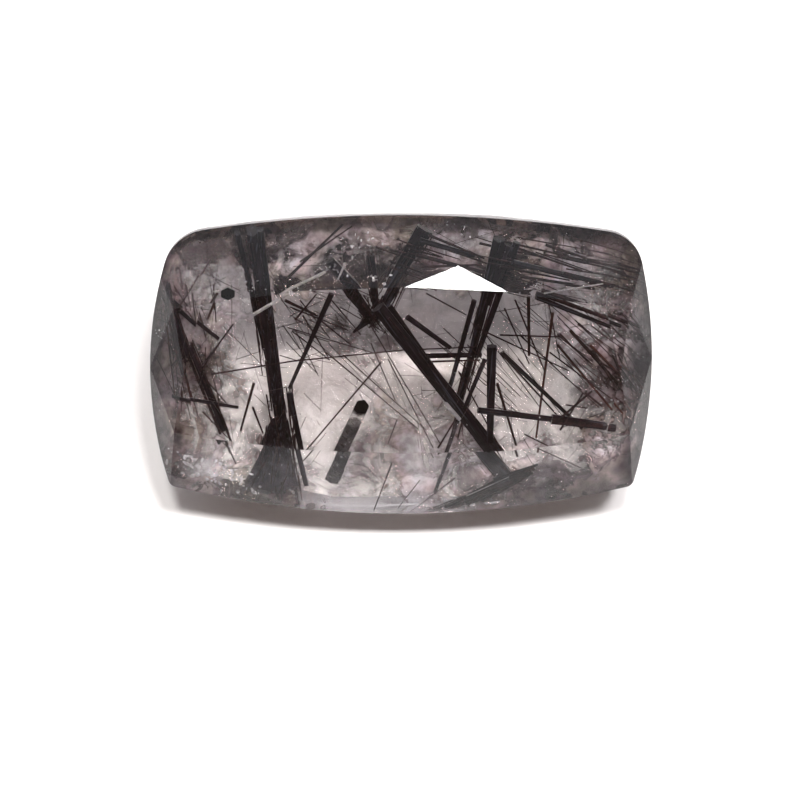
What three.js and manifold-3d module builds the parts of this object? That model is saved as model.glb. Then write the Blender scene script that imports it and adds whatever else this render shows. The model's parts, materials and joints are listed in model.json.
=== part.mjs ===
// Black rutilated quartz: one loose, cushion-cut stone with black needles sealed inside it.
//
// Millimetres. The stone is worked out in its cutting frame: X along its length, Y across it from the
// front side to the back side, Z up through the table, with Z = 0 at the crown edge of the girdle.
// At the end it is laid on its large front pavilion facet, +Z up, and the origin is under the middle
// of its bounding box. Angles are in degrees, and a facing is a compass way in the XY plane, with 0
// along +X and 90 along +Y.

import * as THREE from 'three';
import { mergeVertices } from 'three/addons/utils/BufferGeometryUtils.js';
import Module from 'manifold-3d';

// Size of the stone
const LENGTH = 20.0;
const WIDTH = 12.0;
const CROWN_HEIGHT = 1.5;
const GIRDLE_HEIGHT = 0.9;
const ROUGH_HEIGHT = 14.0;

// Girdle outline: four shallow side arcs, and four corner arcs that join them
const RIGHT_ARC = { facing: 0, radius: 18, offset: 0.3 };
const BACK_ARC = { facing: 90, radius: 52, offset: 0 };
const LEFT_ARC = { facing: 180, radius: 15, offset: 0.1 };
const FRONT_ARC = { facing: 270, radius: 38, offset: 0 };
const BACK_RIGHT_CORNER_RADIUS = 1.6;
const BACK_LEFT_CORNER_RADIUS = 1.9;
const FRONT_CORNER_RADIUS = 0.4;
const SIDE_ARC_STEPS = 16;
const CORNER_ARC_STEPS = 8;

// Crown: the corners of the table, counter-clockwise from the right end, and the facing of the main
// facet at each. A star facet reaches this share of the way from the table down to the girdle
const TABLE_CORNERS = [
  { x: 8.7, y: -0.2, facing: 0 },
  { x: 8.1, y: 2.55, facing: 42 },
  { x: 4.25, y: 3.1, facing: 84.5 },
  { x: 0.15, y: 3.3, facing: 90 },
  { x: -3.9, y: 3.15, facing: 95 },
  { x: -7.9, y: 2.6, facing: 138 },
  { x: -8.6, y: -0.1, facing: 180 },
  { x: -8.0, y: -2.7, facing: 221 },
  { x: -3.95, y: -3.2, facing: 263.5 },
  { x: 0.1, y: -3.35, facing: 270 },
  { x: 4.2, y: -3.25, facing: 276.5 },
  { x: 8.1, y: -2.8, facing: 320 },
];
const STAR_REACH = 0.3;

// Pavilion: a steep tier of facets under the girdle, then the large ones that meet in a keel. The
// stone rests on the front one
const BREAK_SLOPE = 60;
const BREAK_INSET = 1.1;
const BREAK_FACINGS = [0, 30, 60, 82, 90, 98, 120, 150, 180, 210, 240, 262, 270, 278, 300, 330];
const RESTING_SLOPE = 30;
const BACK_SLOPE = 31;
const END_SLOPE = 27;
const CORNER_SLOPE = 30;
const CORNER_FACINGS = [38, 142, 218, 322];

// The level at which the clear stone is parted, and the gaps around what is sealed in it
const PARTING_HEIGHT = -0.45;
const PARTING_GAP = 0.05;
const POCKET_CLEARANCE = 0.04;
const SURFACE_SKIN = 0.02;

// Needles: straight black crystals. A needle with several rods is a bundle that grew together. A rod
// has its two ends, its width at the first, and the share of that width left at the second
const NEEDLES = {
  needle_pillar: [
    { from: [-5.95, 5.6, 0.15], to: [-4.75, -2.9, -1.6], width: 0.5, taper: 0.9 },
    { from: [-6.55, 5.5, 0.15], to: [-5.1, -0.7, -1.1], width: 0.26, taper: 0.8 },
    { from: [-5.6, 5.5, 0.1], to: [-4.55, -3.1, -1.65], width: 0.3, taper: 0.7 },
    { from: [-5.0, -2.3, -1.5], to: [-6.05, -4.85, -0.7], width: 0.46, taper: 1.3 },
    { from: [-4.9, -2.25, -1.5], to: [-5.45, -4.95, -0.75], width: 0.5, taper: 1.3 },
    { from: [-4.8, -2.2, -1.5], to: [-4.85, -4.95, -0.75], width: 0.5, taper: 1.3 },
    { from: [-4.7, -2.3, -1.5], to: [-4.3, -4.75, -0.75], width: 0.46, taper: 1.3 },
    { from: [-5.15, -2.6, -1.35], to: [-6.4, -5.1, -0.35], width: 0.3, taper: 0.8 },
  ],
  needle_back_cluster: [
    { from: [-2.8, 4.15, 0.35], to: [-1.95, 2.95, -0.2], width: 0.4, taper: 1.5 },
    { from: [-1.95, 2.95, -0.2], to: [-1.05, 1.75, -0.7], width: 0.6, taper: 0.6 },
    { from: [-1.2, 4.4, 0.4], to: [-0.95, 1.9, -0.6], width: 0.36, taper: 0.9 },
    { from: [0.95, 5.3, -0.45], to: [-0.8, 2.2, -0.6], width: 0.8, taper: 0.5 },
    { from: [-1.1, 2.0, -0.65], to: [-1.9, 1.3, -0.9], width: 0.44, taper: 0.25 },
  ],
  needle_right_bundle: [
    { from: [3.9, 5.1, 0.3], to: [2.3, -1.85, -1.4], width: 0.56, taper: 0.35 },
    { from: [4.6, 4.9, 0.2], to: [3.0, 0.3, -0.72], width: 0.36, taper: 0.6 },
    { from: [4.3, 4.8, 0.1], to: [3.35, 2.5, -0.5], width: 0.7, taper: 0.7 },
  ],
  needle_level_right: [
    { from: [3.05, -1.7, 0.45], to: [8.0, -2.43, -0.85], width: 0.28, taper: 0.9 },
    { from: [6.0, -2.13, -0.33], to: [8.2, -2.47, -0.9], width: 0.46, taper: 0.75 },
  ],
  needle_big_diagonal: [
    { from: [-0.9, 2.45, 0.9], to: [4.1, -4.05, -1.8], width: 0.62, taper: 1.1 },
    { from: [-0.45, 2.5, 0.75], to: [1.7, -0.65, -0.4], width: 0.26, taper: 0.7 },
  ],
  needle_front_diagonal: [
    { from: [3.8, -4.6, 0.0], to: [5.45, -3.78, 0.5], width: 0.68, taper: 0.15 },
    { from: [4.3, -4.38, 0.14], to: [1.75, -5.65, -0.6], width: 0.56, taper: 0.3 },
  ],
  needle_front_leg_right: [{ from: [-4.45, -1.05, -0.3], to: [-3.75, -4.6, -1.2], width: 0.28, taper: 0.8 }],
  needle_front_grey: [{ from: [2.25, -2.2, -0.2], to: [1.3, -5.05, -1.4], width: 0.2, taper: 0.8 }],
  needle_long_slant: [{ from: [-2.75, 3.0, 1.0], to: [-4.45, -0.95, -0.9], width: 0.26, taper: 0.6 }],
  needle_left_rod: [{ from: [-9.3, 3.3, 0.45], to: [-7.05, -2.65, -0.8], width: 0.34, taper: 0.8 }],
  needle_left_slant: [{ from: [-9.25, 2.7, -0.3], to: [-7.25, 1.05, -0.7], width: 0.22, taper: 0.8 }],
  needle_left_level: [{ from: [-8.95, -1.15, 0.6], to: [-6.5, -1.7, -0.7], width: 0.18, taper: 0.8 }],
  needle_left_stub: [{ from: [-6.85, 3.05, 1.6], to: [-6.85, 2.7, -0.7], width: 0.66, taper: 0.6 }],
  needle_table_rod: [{ from: [-1.5, -1.35, 1.65], to: [-2.7, -4.2, -2.0], width: 0.6, taper: 1.05 }],
  needle_upright: [{ from: [3.6, 0.9, 0.9], to: [3.55, -3.1, -0.8], width: 0.46, taper: 0.62 }],
  needle_middle_short: [{ from: [0.25, 2.05, 0.7], to: [1.95, 0.7, -0.7], width: 0.26, taper: 0.8 }],
  needle_middle_deep: [{ from: [0.95, 0.4, -0.4], to: [3.2, 0.35, -1.5], width: 0.24, taper: 0.9 }],
  needle_right_slim: [{ from: [2.9, 2.7, 0.6], to: [1.85, -1.3, -1.2], width: 0.24, taper: 0.8 }],
  needle_right_short: [{ from: [3.35, 0.3, -0.2], to: [2.5, -1.75, -0.42], width: 0.22, taper: 0.7 }],
  needle_right_slant: [{ from: [4.0, 0.6, 0.4], to: [7.35, -2.7, -1.2], width: 0.22, taper: 0.7 }],
  needle_back_first: [{ from: [0.75, 5.0, 0.3], to: [2.9, 4.1, -0.6], width: 0.26, taper: 0.8 }],
  needle_back_second: [{ from: [4.4, 4.15, 0.6], to: [8.2, 2.9, -0.6], width: 0.26, taper: 0.7 }],
  needle_back_third: [{ from: [5.35, 2.85, 0.65], to: [8.45, 1.5, -0.6], width: 0.24, taper: 0.7 }],
};

// Slim needles, thin enough to look brown
const SLIM_NEEDLES = {
  slim_left_long: [{ from: [-9.15, 2.2, 0.0], to: [-8.35, -1.4, -0.8], width: 0.12, taper: 0.8 }],
  slim_left_short: [{ from: [-7.28, 2.85, 0.6], to: [-7.7, 1.85, -0.7], width: 0.15, taper: 0.6 }],
  slim_left_low: [{ from: [-5.85, -0.65, 0.1], to: [-6.4, -2.65, -0.7], width: 0.13, taper: 0.7 }],
  slim_right_long: [{ from: [6.02, 2.22, 0.45], to: [5.4, -3.0, -1.5], width: 0.13, taper: 0.7 }],
  slim_right_back: [{ from: [5.05, 2.85, 0.7], to: [5.1, 0.4, -0.6], width: 0.16, taper: 0.7 }],
  slim_right_front: [{ from: [3.82, -0.62, 0.55], to: [4.6, -3.25, -0.9], width: 0.13, taper: 0.8 }],
  slim_end_first: [{ from: [6.7, 1.5, 0.3], to: [9.1, -1.25, -0.6], width: 0.16, taper: 0.8 }],
  slim_end_second: [{ from: [7.5, 0.9, 0.2], to: [9.55, -1.25, -0.6], width: 0.14, taper: 0.8 }],
  slim_end_third: [{ from: [6.2, 0.9, 0.0], to: [8.5, -1.9, -0.9], width: 0.12, taper: 0.8 }],
};
const NEEDLE_SIDES = 6;
const NEEDLE_FLATNESS = 0.8;

const QUARTZ = new THREE.MeshStandardMaterial({
  color: 0xb9aeb0,
  roughness: 0.05,
  transparent: true,
  opacity: 0.35,
  flatShading: true,
});
const NEEDLE_BLACK = new THREE.MeshStandardMaterial({ color: 0x17100f, roughness: 0.35, flatShading: true });
const NEEDLE_BROWN = new THREE.MeshStandardMaterial({ color: 0x33201c, roughness: 0.4, flatShading: true });

const UP = new THREE.Vector3(0, 0, 1);
const BLOCK = 60;
const MERGE_DISTANCE = 1e-5;
const wasm = await Module();
wasm.setup();

// Solids: a closed geometry becomes a solid that can be cut, and comes back as a geometry

function toSolid(geometry) {
  const bare = geometry.clone();
  bare.deleteAttribute('normal');
  bare.deleteAttribute('uv');
  const merged = mergeVertices(bare, MERGE_DISTANCE);
  return new wasm.Manifold(new wasm.Mesh({
    numProp: 3,
    vertProperties: Float32Array.from(merged.attributes.position.array),
    triVerts: Uint32Array.from(merged.index.array),
  }));
}

function toGeometry(solid) {
  const mesh = solid.getMesh();
  const geometry = new THREE.BufferGeometry();
  geometry.setAttribute('position', new THREE.BufferAttribute(mesh.vertProperties, 3));
  geometry.setIndex(new THREE.BufferAttribute(mesh.triVerts, 1));
  return geometry;
}

function behind(plane) {
  // A block that fills the side of a plane that its normal points away from
  const block = new THREE.BoxGeometry(BLOCK, BLOCK, BLOCK);
  block.translate(0, 0, -BLOCK / 2);
  block.applyQuaternion(new THREE.Quaternion().setFromUnitVectors(UP, plane.normal));
  const foot = plane.coplanarPoint(new THREE.Vector3());
  block.translate(foot.x, foot.y, foot.z);
  return toSolid(block);
}

// Outline: a closed run of arcs that touch, so that each facing belongs to one point of it

function heading(facing) {
  const angle = THREE.MathUtils.degToRad(facing);
  return new THREE.Vector2(Math.cos(angle), Math.sin(angle));
}

function facingOf(direction) {
  return (THREE.MathUtils.radToDeg(direction.angle()) + 360) % 360;
}

function turnFrom(start, facing) {
  return (facing - start + 360) % 360;
}

function sideArc({ facing, radius, offset }) {
  const outward = heading(facing);
  const halfSpan = facing % 180 === 0 ? LENGTH / 2 : WIDTH / 2;
  const centre = outward.clone().multiplyScalar(halfSpan - radius);
  centre.addScaledVector(heading(facing + 90), offset);
  return { facing, radius, centre, steps: SIDE_ARC_STEPS };
}

function cornerArc(side, next, radius) {
  // The centre of a circle that touches both side arcs from within: where two smaller circles cross
  const apart = next.centre.clone().sub(side.centre);
  const reach = side.radius - radius;
  const nextReach = next.radius - radius;
  const along = (apart.lengthSq() + reach ** 2 - nextReach ** 2) / (2 * apart.length());
  const across = Math.sqrt(reach ** 2 - along ** 2);
  const direction = apart.normalize();
  const sideways = new THREE.Vector2(direction.y, -direction.x);
  const foot = side.centre.clone().addScaledVector(direction, along);
  const crossings = [across, -across].map((step) => foot.clone().addScaledVector(sideways, step));
  const outward = heading(side.facing + 45);
  const centre = crossings.reduce((best, each) => (each.dot(outward) > best.dot(outward) ? each : best));
  return {
    radius,
    centre,
    steps: CORNER_ARC_STEPS,
    start: facingOf(centre.clone().sub(side.centre)),
    end: facingOf(centre.clone().sub(next.centre)),
  };
}

function girdleArcs() {
  const sides = [RIGHT_ARC, BACK_ARC, LEFT_ARC, FRONT_ARC].map(sideArc);
  const radii = [
    BACK_RIGHT_CORNER_RADIUS,
    BACK_LEFT_CORNER_RADIUS,
    FRONT_CORNER_RADIUS,
    FRONT_CORNER_RADIUS,
  ];
  const corners = sides.map((side, i) => cornerArc(side, sides[(i + 1) % 4], radii[i]));
  return sides.flatMap((side, i) => {
    const start = corners[(i + 3) % 4].end;
    const end = corners[i].start;
    return [{ ...side, start, end }, corners[i]];
  });
}

const ARCS = girdleArcs();

function girdlePoint(facing) {
  const arc = ARCS.find((each) => turnFrom(each.start, facing) <= turnFrom(each.start, each.end));
  return arc.centre.clone().addScaledVector(heading(facing), arc.radius);
}

function rimPoints() {
  return ARCS.flatMap((arc) => Array.from({ length: arc.steps }, (_, step) => {
    const facing = arc.start + (turnFrom(arc.start, arc.end) * step) / arc.steps;
    return arc.centre.clone().addScaledVector(heading(facing), arc.radius);
  }));
}

const RIM = rimPoints();

function at(point, height) {
  return new THREE.Vector3(point.x, point.y, height);
}

// Facets: each is the plane of one polished face, with its normal pointing out of the stone

function slopedFacet(facing, slope, side, point) {
  // Side is 1 for a facet of the crown, and -1 for one of the pavilion
  const lean = THREE.MathUtils.degToRad(slope);
  const normal = at(heading(facing).multiplyScalar(Math.sin(lean)), side * Math.cos(lean));
  return new THREE.Plane().setFromNormalAndCoplanarPoint(normal, point);
}

function facetThrough(a, b, c) {
  const plane = new THREE.Plane().setFromCoplanarPoints(a, b, c);
  return plane.normal.z < 0 ? plane.negate() : plane;
}

function crownMain({ x, y, facing }) {
  // From a corner of the table down to the point of the girdle that faces the same way
  const touch = girdlePoint(facing);
  const run = heading(facing).dot(touch.clone().sub(new THREE.Vector2(x, y)));
  const slope = THREE.MathUtils.radToDeg(Math.atan(CROWN_HEIGHT / run));
  return { facing, slope, touch: at(touch, 0), corner: new THREE.Vector3(x, y, CROWN_HEIGHT) };
}

function ridgePoint(main, next, height) {
  // Where two neighbouring mains meet, at the given height
  const [here, there] = [main, next].map(({ facing, slope, corner }) => {
    const outward = heading(facing);
    const run = (CROWN_HEIGHT - height) / Math.tan(THREE.MathUtils.degToRad(slope));
    return { outward, reach: outward.dot(corner) + run };
  });
  const turn = here.outward.cross(there.outward);
  const x = (here.reach * there.outward.y - there.reach * here.outward.y) / turn;
  const y = (there.reach * here.outward.x - here.reach * there.outward.x) / turn;
  return new THREE.Vector3(x, y, height);
}

function nearestOnRim(point) {
  return RIM.reduce((best, each) => (each.distanceTo(point) < best.distanceTo(point) ? each : best));
}

function crownFacets() {
  const mains = TABLE_CORNERS.map(crownMain);
  const table = new THREE.Plane(UP.clone(), -CROWN_HEIGHT);
  const rounds = mains.map((main, i) => {
    const next = mains[(i + 1) % mains.length];
    const star = ridgePoint(main, next, CROWN_HEIGHT * (1 - STAR_REACH));
    const between = at(nearestOnRim(ridgePoint(main, next, 0)), 0);
    return [
      slopedFacet(main.facing, main.slope, 1, main.corner),
      facetThrough(main.corner, next.corner, star),
      facetThrough(star, main.touch, between),
      facetThrough(star, next.touch, between),
    ];
  });
  return [table, ...rounds.flat()];
}

function pavilionFacets() {
  const breakHeight = -GIRDLE_HEIGHT - BREAK_INSET * Math.tan(THREE.MathUtils.degToRad(BREAK_SLOPE));
  const facet = (facing, slope) => {
    const edge = girdlePoint(facing).addScaledVector(heading(facing), -BREAK_INSET);
    return slopedFacet(facing, slope, -1, at(edge, breakHeight));
  };
  return [
    ...BREAK_FACINGS.map((facing) => facet(facing, BREAK_SLOPE)),
    ...CORNER_FACINGS.map((facing) => facet(facing, CORNER_SLOPE)),
    facet(LEFT_ARC.facing, END_SLOPE),
    facet(RIGHT_ARC.facing, END_SLOPE),
    facet(BACK_ARC.facing, BACK_SLOPE),
    facet(FRONT_ARC.facing, RESTING_SLOPE),
  ];
}

function cutStone() {
  const rough = new THREE.ExtrudeGeometry(new THREE.Shape(RIM), { depth: ROUGH_HEIGHT, bevelEnabled: false });
  rough.translate(0, 0, -ROUGH_HEIGHT / 2);
  const facets = [...crownFacets(), ...pavilionFacets()];
  return facets.reduce((solid, facet) => solid.intersect(behind(facet)), toSolid(rough));
}

function shrunkStone(stone) {
  // The stone less its skin, so that a needle that reaches the polished surface ends just below it
  const geometry = toGeometry(stone);
  geometry.computeBoundingBox();
  const size = geometry.boundingBox.getSize(new THREE.Vector3());
  const middle = geometry.boundingBox.getCenter(new THREE.Vector3());
  const share = (extent) => 1 - (2 * SURFACE_SKIN) / extent;
  geometry.translate(-middle.x, -middle.y, -middle.z);
  geometry.scale(share(size.x), share(size.y), share(size.z));
  geometry.translate(middle.x, middle.y, middle.z);
  return toSolid(geometry);
}

// Needles: six-sided rods, wider across the stone than they are deep

function rod({ from, to, width, taper }, clearance) {
  const start = new THREE.Vector3(...from);
  const along = new THREE.Vector3(...to).sub(start);
  const length = along.length() + 2 * clearance;
  const radius = width / 2;
  const geometry = new THREE.CylinderGeometry(
    radius * taper + clearance,
    radius + clearance,
    length,
    NEEDLE_SIDES,
  );
  geometry.scale(1, 1, NEEDLE_FLATNESS);
  geometry.translate(0, length / 2 - clearance, 0);
  along.normalize();
  const across = along.clone().cross(UP).normalize();
  geometry.applyMatrix4(new THREE.Matrix4().makeBasis(across, along, across.clone().cross(along)));
  geometry.translate(start.x, start.y, start.z);
  return toSolid(geometry);
}

function bundle(rods, clearance) {
  return rods.map((each) => rod(each, clearance)).reduce((whole, each) => whole.add(each));
}

// Assembly: the stone parted at one level, the needles in their pockets, and the whole laid down

function partedStone(stone) {
  const needles = Object.values({ ...NEEDLES, ...SLIM_NEEDLES });
  const pockets = needles.map((rods) => bundle(rods, POCKET_CLEARANCE));
  const pocketed = pockets.reduce((solid, pocket) => solid.subtract(pocket), stone);
  return [1, -1].map((side) => {
    const level = new THREE.Vector3(0, 0, PARTING_HEIGHT + (side * PARTING_GAP) / 2);
    const downward = UP.clone().multiplyScalar(-side);
    return pocketed.intersect(behind(new THREE.Plane().setFromNormalAndCoplanarPoint(downward, level)));
  });
}

function named(name, solid, material) {
  const mesh = new THREE.Mesh(toGeometry(solid), material);
  mesh.name = name;
  return mesh;
}

function wholeStone() {
  const stone = cutStone();
  const inside = shrunkStone(stone);
  const [crownHalf, pavilionHalf] = partedStone(stone);
  const needleMeshes = (needles, material) => Object.entries(needles).map(([name, rods]) => (
    named(name, bundle(rods, 0).intersect(inside), material)
  ));
  const group = new THREE.Group();
  group.add(named('quartz_crown_half', crownHalf, QUARTZ));
  group.add(named('quartz_pavilion_half', pavilionHalf, QUARTZ));
  group.add(...needleMeshes(NEEDLES, NEEDLE_BLACK));
  group.add(...needleMeshes(SLIM_NEEDLES, NEEDLE_BROWN));
  return group;
}

function laidDown(group) {
  group.rotation.x = THREE.MathUtils.degToRad(RESTING_SLOPE);
  const box = new THREE.Box3().setFromObject(group, true);
  const middle = box.getCenter(new THREE.Vector3());
  group.position.set(-middle.x, -middle.y, -box.min.z);
  return new THREE.Group().add(group);
}

export default laidDown(wholeStone());
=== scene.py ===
"""Black rutilated quartz: the looks of one loose, cushion-cut stone with black needles sealed inside it.

Metres, +Z up. The stone lies on its large front pavilion facet, with the origin under the middle of its box.
Places inside it are in millimetres, in its cutting frame: X along its length, Y across it from the front side
to the back side, Z up through the table, with Z = 0 at the crown edge of the girdle. Angles are in degrees,
and a heading is a compass way in the XY plane, with 0 along +X and 90 along +Y.
"""

import json
import logging
import math
import random
from dataclasses import dataclass, field, replace
from enum import Enum

import bmesh
import bpy
from mathutils import Matrix, Vector, noise

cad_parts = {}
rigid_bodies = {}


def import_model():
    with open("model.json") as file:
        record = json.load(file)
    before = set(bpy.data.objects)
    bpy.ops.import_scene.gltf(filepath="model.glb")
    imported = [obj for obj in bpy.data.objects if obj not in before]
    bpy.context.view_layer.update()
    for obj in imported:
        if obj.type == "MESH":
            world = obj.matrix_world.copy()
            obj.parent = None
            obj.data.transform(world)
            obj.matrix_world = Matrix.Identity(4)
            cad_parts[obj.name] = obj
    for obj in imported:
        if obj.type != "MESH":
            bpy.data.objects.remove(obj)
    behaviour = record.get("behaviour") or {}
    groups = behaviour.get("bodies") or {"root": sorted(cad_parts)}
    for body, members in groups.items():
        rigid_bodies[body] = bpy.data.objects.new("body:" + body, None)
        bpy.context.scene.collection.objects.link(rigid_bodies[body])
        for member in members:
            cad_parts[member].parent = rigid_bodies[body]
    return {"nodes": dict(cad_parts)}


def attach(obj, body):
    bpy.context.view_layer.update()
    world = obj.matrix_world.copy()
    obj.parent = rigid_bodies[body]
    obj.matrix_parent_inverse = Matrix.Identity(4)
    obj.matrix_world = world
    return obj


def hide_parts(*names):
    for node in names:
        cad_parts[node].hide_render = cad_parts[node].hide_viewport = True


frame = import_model()

log = logging.getLogger("rutilated_quartz")

MM = 0.001
BODY = "root"

# Where most of a noise texture's values lie. A finish's own range picks out fewer of them, or more.
NOISE_RANGE = (0.35, 0.65)

# A line that nears a plane by less than this, in metres, counts as running along it.
PARALLEL = 1e-12

# How thick the far end of a fine needle may be, as a share of its near end.
FINE_TAPERS = (0.4, 0.9)

# How light is followed through the many layers inside the stone.
LIGHT_PATHS = {
    "use_guiding": True, "guiding_training_samples": 0, "sample_clamp_indirect": 0, "blur_glossy": 0,
    "max_bounces": 16, "transmission_bounces": 16, "transparent_max_bounces": 24,
}

Colour = tuple[float, float, float]
Place = tuple[float, float, float]
Socket = bpy.types.NodeSocket
Sockets = bpy.types.bpy_prop_collection


class Slot(Enum):
    """The record's material slots."""

    QUARTZ = "quartz"
    NEEDLE_BLACK = "needle_black"
    NEEDLE_BROWN = "needle_brown"


def shader_colour(colour: Colour) -> tuple[float, float, float, float]:
    """Returns a colour with full alpha, as a shader socket takes it."""
    return (*colour, 1.0)


def placed(name: str, data: bpy.types.ID) -> bpy.types.Object:
    """Puts an object into the scene.

    Args:
        name: its name.
        data: the mesh, lamp or camera that it shows.

    Returns:
        The new object.
    """
    placed_object = bpy.data.objects.new(name, data)
    bpy.context.scene.collection.objects.link(placed_object)
    return placed_object


def joined_to_stone(piece: bpy.types.Object) -> bpy.types.Object:
    """Lets a piece ride with the stone and reports it.

    Args:
        piece: the piece.

    Returns:
        The same piece.
    """
    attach(piece, BODY)
    log.info("%s: %d faces", piece.name, len(piece.data.polygons))
    return piece


@dataclass(frozen=True)
class CuttingFrame:
    """The frame in which the stone was cut, and where it has come to lie.

    Args:
        to_world: the turn and move that lays the stone on its facet, in metres.
    """

    to_world: Matrix

    @staticmethod
    def of_stone(points: list[Vector], tilt: float, crown_height: float) -> "CuttingFrame":
        """Finds the cutting frame again in the points of the stone as it lies.

        Args:
            points: points of the stone's surface, in metres.
            tilt: the turn about X that laid the stone down, in degrees.
            crown_height: height of the table above the crown edge of the girdle, in millimetres.

        Returns:
            The frame, with its origin under the middle of the table.
        """
        turn = Matrix.Rotation(math.radians(tilt), 4, "X")
        xs, ys, zs = zip(*(turn.inverted() @ point for point in points))
        middle = Vector(((min(xs) + max(xs)) / 2, (min(ys) + max(ys)) / 2, max(zs) - crown_height * MM))
        return CuttingFrame(turn @ Matrix.Translation(middle))

    def place(self, place: Place) -> Vector:
        """Returns the point in the world, in metres, of a place in millimetres in the cutting frame."""
        return self.to_world @ (Vector(place) * MM)

    def direction(self, direction: Vector) -> Vector:
        """Returns a direction of the cutting frame, turned as the stone lies."""
        return (self.to_world.to_3x3() @ direction).normalized()


class NodeSketch:
    """Adds nodes to a tree and links them, with few words."""

    def __init__(self, tree: bpy.types.NodeTree) -> None:
        """Empties the tree that is to be filled."""
        self.tree = tree
        tree.nodes.clear()

    def add(self, kind: str, values: dict | None = None, **settings: object) -> bpy.types.Node:
        """Adds a node.

        Args:
            kind: the node's type name.
            values: what its input sockets are given, by name or number: a value, or a socket to link.
            **settings: the node's own settings.

        Returns:
            The new node.
        """
        node = self.tree.nodes.new(kind)
        for name, setting in settings.items():
            setattr(node, name, setting)
        for key, value in (values or {}).items():
            if isinstance(value, bpy.types.NodeSocket):
                self.tree.links.new(value, node.inputs[key])
            else:
                node.inputs[key].default_value = value
        return node

    def noise(self, place: Socket, scale: float | Socket, detail: float, **values: float) -> Socket:
        """Adds a noise texture.

        Args:
            place: where a point of the surface is.
            scale: how many blotches there are to a metre.
            detail: how many finer layers it has.
            **values: what its other input sockets are given.

        Returns:
            The noise, around 0.5.
        """
        given = {"Vector": place, "Scale": scale, "Detail": detail, **values}
        return self.add("ShaderNodeTexNoise", given).outputs["Fac"]

    def spread(self, factor: Socket, low: float, high: float, start: float = 0.0, end: float = 1.0) -> Socket:
        """Maps a factor's range from start to end onto low to high.

        Args:
            factor: what is mapped.
            low: the result at start.
            high: the result at end.
            start: the factor that gives low.
            end: the factor that gives high.

        Returns:
            The mapped value.
        """
        values = {"Value": factor, "From Min": start, "From Max": end, "To Min": low, "To Max": high}
        return self.add("ShaderNodeMapRange", values).outputs["Result"]

    def swing(self, factor: Socket, reach: float) -> Socket:
        """Returns a noise that is made to swing from minus a reach to plus that reach."""
        return self.spread(factor, -reach, reach, *NOISE_RANGE)

    def calculate(self, operation: str, *parts: float | Socket, clamp: bool = False) -> Socket:
        """Adds a Math node.

        Args:
            operation: what is done with the parts.
            *parts: the numbers or sockets that it works on, in order.
            clamp: whether the result is kept from 0 to 1.

        Returns:
            The result.
        """
        node = self.add("ShaderNodeMath", dict(enumerate(parts)), operation=operation, use_clamp=clamp)
        return node.outputs["Value"]

    def ramp(self, factor: Socket, stops: list[tuple[float, Colour]]) -> Socket:
        """Adds a colour ramp.

        Args:
            factor: what drives the ramp.
            stops: each stop's place from 0 to 1, and its colour.

        Returns:
            The ramp's colour.
        """
        node = self.add("ShaderNodeValToRGB", {"Fac": factor})
        elements = node.color_ramp.elements
        while len(elements) < len(stops):
            elements.new(0.5)
        for element, (position, colour) in zip(elements, stops):
            element.position = position
            element.color = shader_colour(colour)
        return node.outputs["Color"]

    def mix(self, factor: float | Socket, first: Socket, second: Socket | tuple,
            blend: str = "MIX") -> Socket:
        """Mixes two colours.

        Args:
            factor: how much of the second there is.
            first: the first colour.
            second: the second colour.
            blend: the way of mixing.

        Returns:
            The mixed colour.
        """
        values = {"Factor": factor, 6: first, 7: second}
        return self.add("ShaderNodeMix", values, data_type="RGBA", blend_type=blend).outputs[2]

    def bump(self, height: Socket, strength: float, distance: float) -> Socket:
        """Adds a bump.

        Args:
            height: how high the surface stands, from 0 to 1.
            strength: how much of the bump is felt.
            distance: the height that 1 stands for, in metres.

        Returns:
            The bumpy surface's normals.
        """
        values = {"Height": height, "Strength": strength, "Distance": distance}
        return self.add("ShaderNodeBump", values).outputs["Normal"]


class SharedTree:
    """A node tree that is built once, at its first use.

    A kind of tree gives its NAME, its KIND, and each socket's name and type in INPUTS and OUTPUTS.
    """

    NAME = ""
    KIND = "ShaderNodeTree"
    INPUTS: dict[str, str] = {}
    OUTPUTS: dict[str, str] = {}

    @classmethod
    def tree(cls) -> bpy.types.NodeTree:
        """Returns the tree, made at its first use."""
        return bpy.data.node_groups.get(cls.NAME) or cls._build()

    @classmethod
    def _build(cls) -> bpy.types.NodeTree:
        """Builds the tree.

        Returns:
            The new tree, with its sockets.
        """
        tree = bpy.data.node_groups.new(cls.NAME, cls.KIND)
        for side, sockets in (("INPUT", cls.INPUTS), ("OUTPUT", cls.OUTPUTS)):
            for name, kind in sockets.items():
                tree.interface.new_socket(name, in_out=side, socket_type="NodeSocket" + kind)
        sketch = NodeSketch(tree)
        sketch.add("NodeGroupOutput", cls._fill(sketch, sketch.add("NodeGroupInput").outputs))
        return tree

    @classmethod
    def _fill(cls, sketch: NodeSketch, given: Sockets) -> dict[str, Socket]:
        """Adds the tree's own nodes.

        Args:
            sketch: the tree's nodes.
            given: its inputs.

        Returns:
            What each of its outputs is given.
        """
        raise NotImplementedError


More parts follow.
